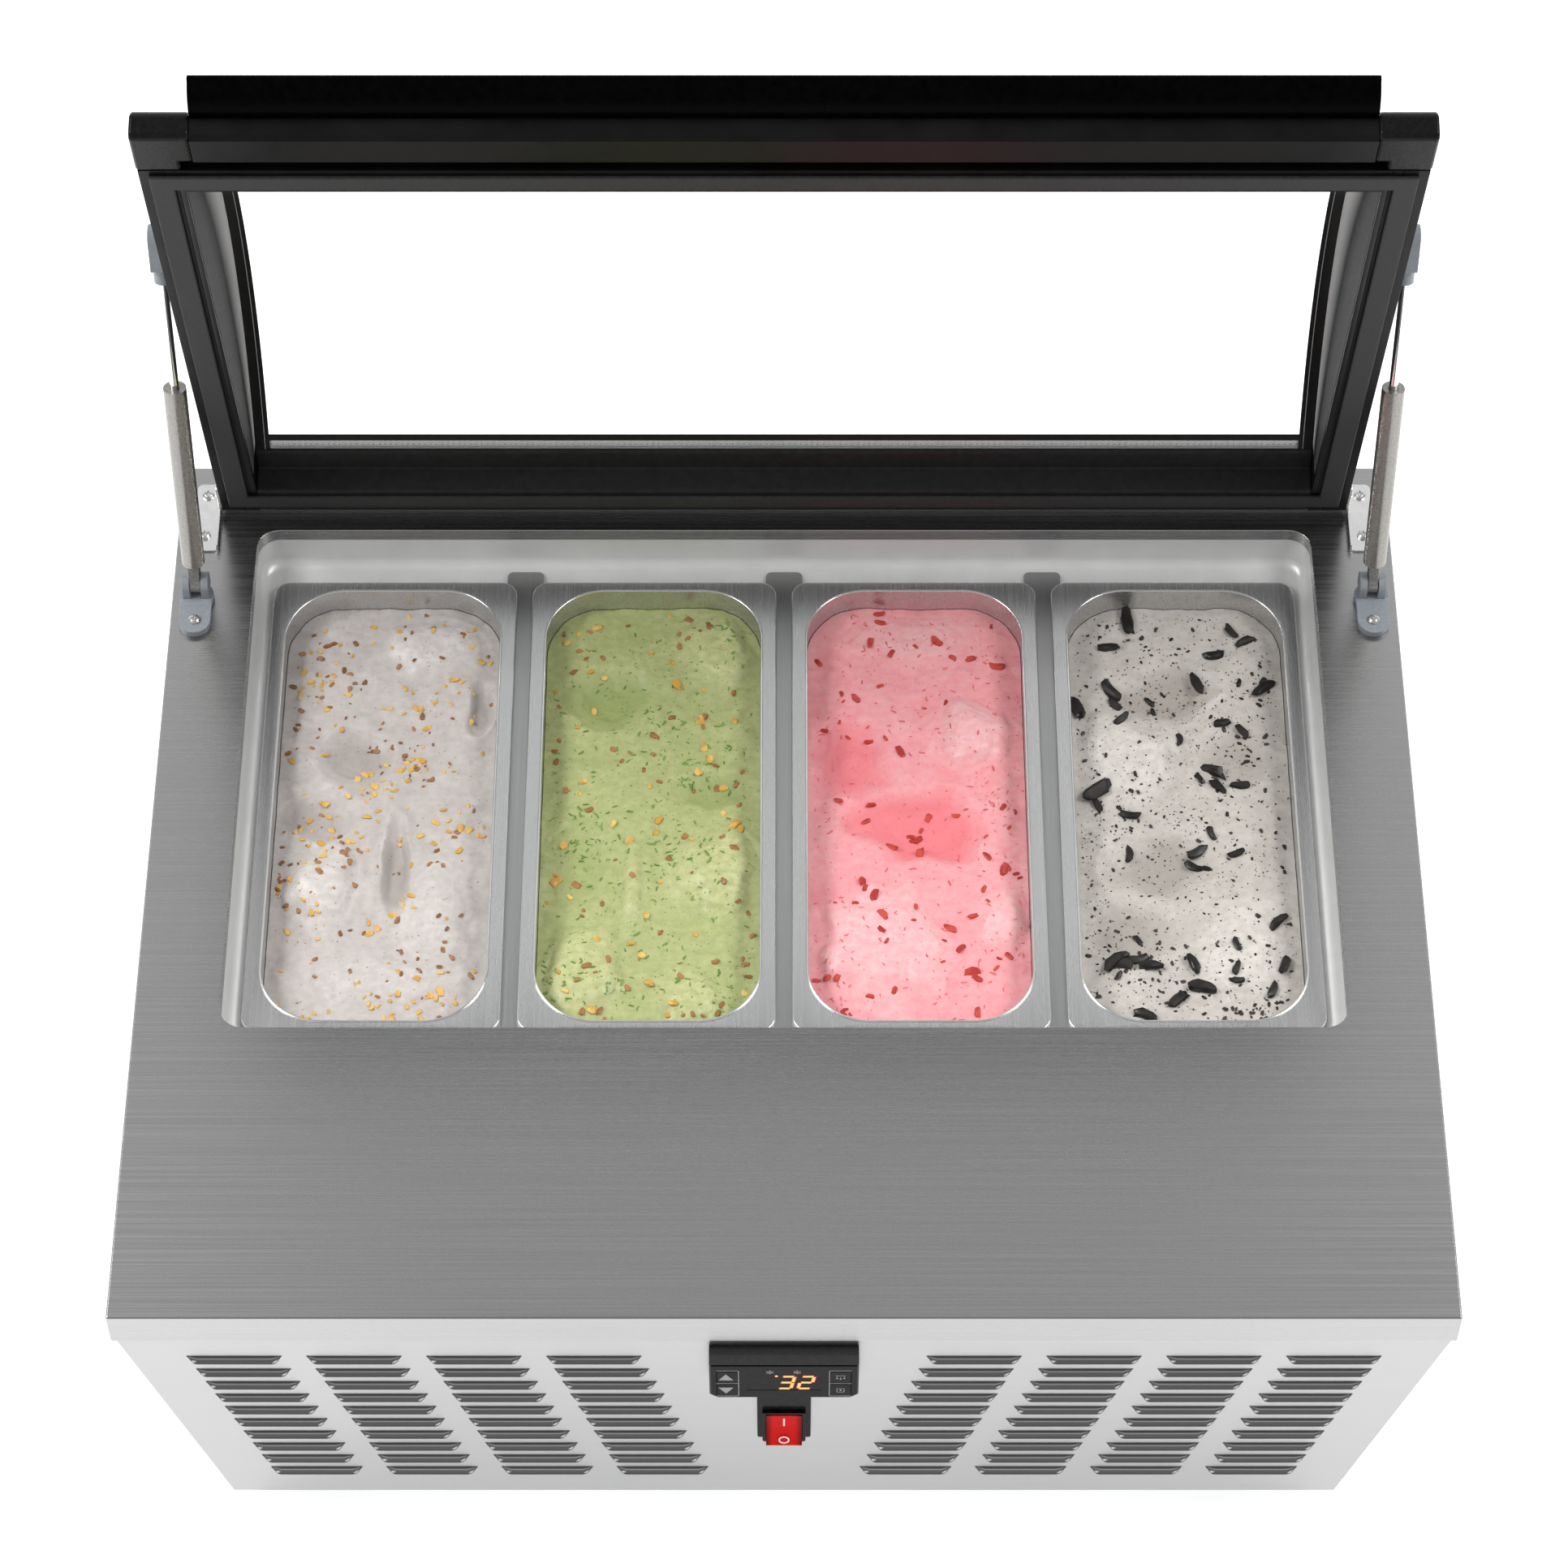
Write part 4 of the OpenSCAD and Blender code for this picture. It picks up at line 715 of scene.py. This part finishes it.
form = bmesh.new()
strip(form, 0, 0.064, 0.0462, 0.0202, front_y - 0.0087, thick=0.0001)
piece("display_window", form, body_of("controller_board"), fascia_gloss)
display_y = front_y - 0.0089
segment_long, segment_wide = 0.0070, 0.0017
lit = {"3": "abgcd", "2": "abged"}
for name, glow, grow, out in [
    ("display_glow", ((0.20, 0.02, 0.004), 0.35), 0.0012, display_y + 0.00008),
    ("display_digits", ((1.0, 0.27, 0.06), 1.6), 0.0, display_y),
]:
    form = bmesh.new()
    for digit, x in (("3", 0.0016), ("2", 0.0136)):
        for letter, dx, dz, turn in [("a", 0, 0.0076, 1), ("g", 0, 0, 1), ("d", 0, -0.0076, 1),
                                     ("b", 0.0038, 0.0038, 0), ("c", 0.0038, -0.0038, 0),
                                     ("e", -0.0038, -0.0038, 0), ("f", -0.0038, 0.0038, 0)]:
            if letter in lit[digit]:
                long = segment_long - 0.0009 + grow
                strip(form, x + dx + 0.16 * dz, 0.0642 - dz, (segment_wide + grow, long)[turn],
                      (long, segment_wide + grow)[turn], out, 0, 0.16, 0.0002)
    mark(form, 10, -0.0046, 0.0560, 0.0009 + grow / 3, out)
    lamp_red = finish(name.replace("_", " "), glow[0], tuple(c * 0.85 for c in glow[0]), (0.4, 0.5),
                      (500, 500, 500), relief=0.0)
    lit_shader = lamp_red.node_tree.nodes["Principled BSDF"]
    lit_shader.inputs["Emission Color"].default_value = (*glow[0], 1)
    lit_shader.inputs["Emission Strength"].default_value = glow[1]
    piece(name, form, body_of("controller_board"), lamp_red)

# The rocker switch: a black moulded bracket and bezel, and a red rocker whose face is dished. A bar and
# a ring are inlaid in white.
gloss_bezel = finish("glossy switch plastic", (0.008, 0.008, 0.008), (0.014, 0.014, 0.014), (0.14, 0.24),
                     (300, 300, 300), relief=0.0, Specular_IOR_Level=0.05)
red_plastic = finish("red rocker plastic", (0.62, 0.004, 0.002), (0.68, 0.006, 0.004), (0.18, 0.26),
                     (200, 200, 200), relief=0.0, Specular_IOR_Level=0.05)
tree = red_plastic.node_tree
# The rocker's red is painted darker towards both its sides: painted shade where the face turns away.
sideways = tree.nodes.new("ShaderNodeSeparateXYZ")
from_middle = tree.nodes.new("ShaderNodeMath")
from_middle.operation = "ABSOLUTE"
to_side = tree.nodes.new("ShaderNodeMapRange")
to_side.inputs["From Min"].default_value = 0.0068
to_side.inputs["From Max"].default_value = 0.0112
painted_side_shade = tree.nodes.new("ShaderNodeMix")
painted_side_shade.data_type = "RGBA"
painted_side_shade.inputs["B"].default_value = (0.09, 0.0, 0.0, 1)
tree.links.new(tree.nodes["Texture Coordinate"].outputs["Object"], sideways.inputs[0])
tree.links.new(sideways.outputs["X"], from_middle.inputs[0])
tree.links.new(from_middle.outputs[0], to_side.inputs["Value"])
tree.links.new(to_side.outputs[0], painted_side_shade.inputs["Factor"])
tree.links.new(tree.nodes["Color Ramp"].outputs[0], painted_side_shade.inputs["A"])
tree.links.new(painted_side_shade.outputs["Result"], tree.nodes["Principled BSDF"].inputs["Base Color"])
rounded("switch_bracket", "switch_surround", 0.0006, gloss_bezel)
rounded("switch_housing", "switch_bezel", 0.0008, gloss_bezel, 3)
rounded("switch_rocker", "red_rocker", 0.0011, red_plastic, 4, 0.25)
inlay = finish("white inlay", (0.72, 0.68, 0.66), (0.82, 0.78, 0.76), (0.4, 0.5), (400, 400, 400),
               relief=0.02)
form = bmesh.new()
bmesh.ops.create_cube(form, size=1, matrix=Matrix.Translation((0, -0.0091, 0.0088))
                      @ Matrix.Diagonal((0.0011, 0.0007, 0.0092, 1)))
loop = []
for radius in (0.0034, 0.0025):
    made = bmesh.ops.create_circle(form, segments=32, radius=radius, cap_ends=False,
                                   matrix=Matrix.Translation((0, -0.00935, -0.0094))
                                   @ Matrix.Rotation(math.pi / 2, 4, "X"))["verts"]
    loop += list({edge for v in made for edge in v.link_edges})
face_ring = bmesh.ops.bridge_loops(form, edges=loop)["faces"]
bmesh.ops.solidify(form, geom=face_ring, thickness=0.0006)
bmesh.ops.transform(form, verts=form.verts, matrix=Matrix.Translation((0, front_y + 0.003, body_h - 0.1333))
                    @ Matrix.Rotation(math.radians(-10.35), 4, "X"))
bmesh.ops.recalc_face_normals(form, faces=form.faces)
piece("rocker_signs", form, "rocker", inlay)

# The hinges: two plated brackets screwed to the top plate, each with a pin that turns in the lid's side
# rail. The gas struts stand on plastic feet beside them, and push on plates at the lid's sides.
plated = finish("bright plated steel", (0.74, 0.74, 0.73), (0.82, 0.82, 0.81), (0.20, 0.32),
                (160, 160, 160), metal=1.0, relief=0.01)
chrome = finish("hard chrome", (0.80, 0.80, 0.81), (0.88, 0.88, 0.89), (0.06, 0.12), (70, 70, 70),
                metal=1.0, relief=0.01)
screw_steel = finish("screw steel", (0.62, 0.62, 0.61), (0.74, 0.74, 0.73), (0.18, 0.32), (300, 300, 300),
                     metal=1.0, relief=0.01)
grey_plastic = finish("blue-grey moulded plastic", (0.245, 0.265, 0.295), (0.285, 0.305, 0.335),
                      (0.35, 0.48), (420, 420, 420), relief=0.03, depth=0.0001, Specular_IOR_Level=0.3)
strut_paint = finish("warm grey strut paint", (0.26, 0.25, 0.235), (0.32, 0.31, 0.29), (0.26, 0.34),
                     (700, 700, 700), metal=0.75, relief=0.02, depth=0.0001)
rounded("hinge_brackets", "plated_hinge_brackets", 0.0004, plated)
rounded("hinge_pins", "hinge_pins_turned", 0.0005, chrome)
rounded("plate_screws", "pan_head_screws", 0.00018, screw_steel)
rounded("strut_feet", "moulded_strut_feet", 0.0009, grey_plastic, 3)
rounded("strut_plates", "lid_strut_plates", 0.0005, plated)
for side in ("left", "right"):
    rounded(f"strut_tube_{side}", f"{side}_strut_tube", 0.0006, strut_paint, 3)
    rounded(f"strut_rod_{side}", f"{side}_strut_rod", 0.0004, chrome)
    rounded(f"strut_end_{side}", f"{side}_strut_end", 0.0010, grey_plastic, 3)

# The lid's frame: black lacquered aluminium rails with a lengthwise groove, mitred where they meet, with
# moulded caps on the front corners and a scooped handle along the front.
lid_angle = math.radians(77)
hinge = Vector((0, 0.299, 0.265))
forwards = Vector((0, -math.cos(lid_angle), math.sin(lid_angle)))
outwards = Vector((0, math.sin(lid_angle), math.cos(lid_angle)))
corner = hinge - 0.006 * forwards - 0.012 * outwards
on_lid = Matrix(((1, 0, 0, corner.x), (0, forwards.y, outwards.y, corner.y),
                 (0, forwards.z, outwards.z, corner.z), (0, 0, 0, 1)))
gloss_black = finish("black lacquered rail", (0.0035, 0.0035, 0.0035), (0.0055, 0.0055, 0.0055),
                     (0.30, 0.38), (30, 30, 30), relief=0.0, Specular_IOR_Level=0.12)
rear_black = finish("satin black rear rail", (0.020, 0.020, 0.020), (0.026, 0.026, 0.026), (0.34, 0.42),
                    (200, 200, 200), relief=0.0, Specular_IOR_Level=0.12)
handle_black = finish("handle plastic", (0.0006, 0.0006, 0.0006), (0.0012, 0.0012, 0.0012), (0.26, 0.36),
                      (200, 200, 200), relief=0.0, Specular_IOR_Level=0.02)
cap_black = finish("corner cap plastic", (0.0045, 0.0045, 0.0045), (0.0065, 0.0065, 0.0065), (0.24, 0.3),
                   (400, 400, 400), relief=0.02, depth=0.0001, Specular_IOR_Level=0.14)


def grooved(form, across, deep=0.0007, width=0.0007):
    """Cuts a groove along the flats that cross a band of X on the lid's inner side."""
    for x in (across - width / 2, across + width / 2):
        bmesh.ops.bisect_plane(form, geom=form.verts[:] + form.edges[:] + form.faces[:], dist=1e-6,
                               plane_co=(x, 0, 0), plane_no=(1, 0, 0))
    band = [face for face in form.faces
            if abs(face.calc_center_median().x - across) < width / 2 and -face.normal.dot(outwards) > 0.99]
    bmesh.ops.inset_region(form, faces=band, thickness=width * 0.15, depth=-deep)


for side, sign in (("left", -1), ("right", 1)):
    form = joined(f"lid_side_rail_{side}")
    round_edges(form, 0.0012, 3)
    grooved(form, sign * 0.3633)
    grooved(form, sign * 0.3565, 0.0004, 0.0004)
    piece(f"{side}_lid_rail", form, "lid", gloss_black, [f"lid_side_rail_{side}"])
rounded("lid_rear_rail", "rear_lid_rail", 0.0012, rear_black, 3)
rounded("lid_front_rail", "front_lid_rail", 0.0012, gloss_black, 3)
rounded("lid_end_caps", "front_corner_caps", 0.0022, cap_black, 4)
rounded("lid_handle", "scooped_lid_handle", 0.0004, handle_black, 2)
rounded("lid_gasket", "lid_gasket_strip", 0.0009, rubber, 3)

# The double glazing: two curved panes held apart by a bright aluminium strip with two rows of holes, and
# sealed in black along their edges.
rear_centre, rear_inner = Vector((0, 0.285, 0.0885 - 0.460)), 0.460
join_angle, rear_angle, front_angle = math.radians(2.87), math.radians(31), math.radians(42)
front_inner = 0.270
front_centre = rear_centre + (rear_inner - front_inner) * Vector((0, -math.sin(join_angle),
                                                                  math.cos(join_angle)))
glass_half = 0.3527
pane_wall, inner_off, outer_off, spacer_off = 0.004, 0.004, 0.014, 0.0045
arc_steps = 28


def bent(form, x0, x1, off, steps=20, start=rear_angle, end=front_angle):
    """A sheet between two X places that follows the lid's curve at a distance outside its inner face."""
    radius = rear_inner + off
    ends = [form.verts.new((x, rear_centre.y - radius * math.sin(start),
                            rear_centre.z + radius * math.cos(start))) for x in (x0, x1)]
    edge = form.edges.new(ends)
    swept = bmesh.ops.spin(form, geom=[edge], cent=rear_centre, axis=(1, 0, 0), steps=steps,
                           angle=-(start - join_angle), use_merge=False)["geom_last"]
    bmesh.ops.spin(form, geom=swept, cent=front_centre, axis=(1, 0, 0), steps=steps,
                   angle=-(end + join_angle), use_merge=False)


def on_the_lid(form):
    """Moves a shape from the lid's own measures (across, forwards, outwards) onto the open lid."""
    bmesh.ops.remove_doubles(form, verts=form.verts, dist=0.00001)
    bmesh.ops.transform(form, matrix=on_lid, verts=form.verts)
    bmesh.ops.recalc_face_normals(form, faces=form.faces)


# The cheek linings: a thin satin sheet on the inner side of each side rail, cut to the curve of the
# glass. Its colour is a painted reflection, greyest near the rail and fading to black towards the black seal.
lining_satin = finish("satin cheek lining with painted reflection", (0.085, 0.085, 0.084), (0.095, 0.095, 0.094), (0.5, 0.6),
                      (300, 300, 300), relief=0.02, Specular_IOR_Level=0.02)
tree = lining_satin.node_tree
towards = tree.nodes.new("ShaderNodeAttribute")
towards.attribute_name = "towards_glass"
# Painted reflection: grey near the rail, fading to black towards the glass.
painted_reflection_fade = grey_ramp(tree.nodes, [(0.0, 0.10), (0.30, 0.085), (0.42, 0.045), (0.52, 0.003)])
tree.links.new(towards.outputs["Fac"], painted_reflection_fade.inputs[0])
tree.links.new(painted_reflection_fade.outputs[0], tree.nodes["Principled BSDF"].inputs["Base Color"])


def glass_above(u):
    """How far outside the lid's inner side the glass is, at a distance from its rear edge."""
    centre, radius = (rear_centre, rear_inner) if u < front_centre.y else (front_centre, front_inner)
    return centre.z + math.sqrt(radius ** 2 - (u - centre.y) ** 2)


for name, side in (("left", -1), ("right", 1)):
    form = bmesh.new()
    bmesh.ops.create_grid(form, x_segments=48, y_segments=14, size=0.5)
    towards_glass = form.verts.layers.float.new("towards_glass")
    for v in form.verts:
        u, part = 0.052 + (v.co.x + 0.5) * 0.380, (v.co.y + 0.5) * 0.985
        v[towards_glass] = part
        v.co = Vector((side * 0.35265, u, 0.002 + (glass_above(u) - 0.002) * part))
    bmesh.ops.transform(form, matrix=on_lid, verts=form.verts)
    bmesh.ops.recalc_face_normals(form, faces=form.faces)
    if sum(face.normal.x for face in form.faces) * side > 0:
        bmesh.ops.reverse_faces(form, faces=form.faces)
    piece(f"{name}_cheek_lining", form, "lid", lining_satin, wall=0.0003)

glass = finish("clear float glass", (0.97, 0.99, 0.98), (1.0, 1.0, 1.0), (0.0, 0.01), (8, 8, 8), relief=0.0,
               Transmission_Weight=1.0, IOR=1.25)
seal_black = finish("black edge seal", (0.004, 0.004, 0.004), (0.008, 0.008, 0.008), (0.3, 0.4),
                    (200, 200, 200), relief=0.03, Specular_IOR_Level=0.25)
spacer_aluminium = finish("spacer aluminium", (0.62, 0.62, 0.62), (0.72, 0.72, 0.72), (0.3, 0.4),
                          (900, 60, 60), metal=1.0, relief=0.05)
for name, node, off in (("inner_pane", "glass_inner", inner_off),
                        ("outer_pane", "glass_outer", outer_off)):
    form = bmesh.new()
    bent(form, -glass_half, glass_half, off, arc_steps)
    on_the_lid(form)
    face = max(form.faces, key=lambda f: f.normal.dot(outwards))
    if face.normal.dot(outwards) < 0.5:
        bmesh.ops.reverse_faces(form, faces=form.faces)
    piece(name, form, "lid", glass, [node], wall=pane_wall)
form = bmesh.new()
for side in (-1, 1):
    bent(form, side * 0.3430, side * glass_half, -0.0002, arc_steps)
on_the_lid(form)
piece("glass_edge_seal", form, "lid", seal_black, wall=0.0004)
# A thin bright strip inside the black seal: a painted highlight that stands for the light caught in the glass
# edge.
form = bmesh.new()
for side in (-1, 1):
    bent(form, side * 0.3458, side * 0.3462, -0.0007, arc_steps)
on_the_lid(form)
piece("glass_edge_painted_highlight", form, "lid", spacer_aluminium, wall=0.0004)


def arc_strip(form, x0, x1, off, centre, radius, start, end, steps=6):
    """A strip across the lid that follows one of its two arcs between two angles."""
    reach = radius + off
    ends = [form.verts.new((x, centre.y + reach * math.sin(start), centre.z + reach * math.cos(start)))
            for x in (x0, x1)]
    bmesh.ops.spin(form, geom=[form.edges.new(ends)], cent=centre, axis=(1, 0, 0), steps=steps,
                   angle=start - end, use_merge=False)


strip_w = 0.0065
rear_turn, front_turn = strip_w / rear_inner, strip_w / front_inner
form = bmesh.new()
for side in (-1, 1):
    bent(form, side * (glass_half - strip_w), side * (glass_half - 0.0004), spacer_off, arc_steps)
arc_strip(form, -0.346, 0.346, spacer_off, rear_centre, rear_inner, -rear_angle, -rear_angle + rear_turn)
arc_strip(form, -0.346, 0.346, spacer_off, front_centre, front_inner, front_angle - front_turn,
          front_angle)
on_the_lid(form)
piece("glass_spacer_strip", form, "lid", spacer_aluminium, ["glass_spacer"],
      wall=0.0005)
form = bmesh.new()
dot_pitch, dot_radius = 0.0038, 0.00085
for row in (0.28, 0.72):
    angle = -rear_angle + rear_turn * row
    for i in range(-90, 91):
        bmesh.ops.create_icosphere(form, subdivisions=1, radius=dot_radius, matrix=Matrix.Translation(
            (i * dot_pitch, rear_centre.y + (rear_inner + spacer_off) * math.sin(angle),
             rear_centre.z + (rear_inner + spacer_off) * math.cos(angle))))
bmesh.ops.transform(form, matrix=on_lid, verts=form.verts)
bmesh.ops.recalc_face_normals(form, faces=form.faces)
piece("spacer_dots", form, "lid", bead_steel)
form = bmesh.new()
arc_strip(form, -0.343, 0.343, -0.0002, rear_centre, rear_inner, -rear_angle + rear_turn * 1.02,
          -rear_angle + rear_turn * 1.75)
arc_strip(form, -0.343, 0.343, -0.0002, front_centre, front_inner, front_angle - front_turn * 1.2,
          front_angle)
on_the_lid(form)
piece("glass_end_seal", form, "lid", seal_black, wall=0.0004)
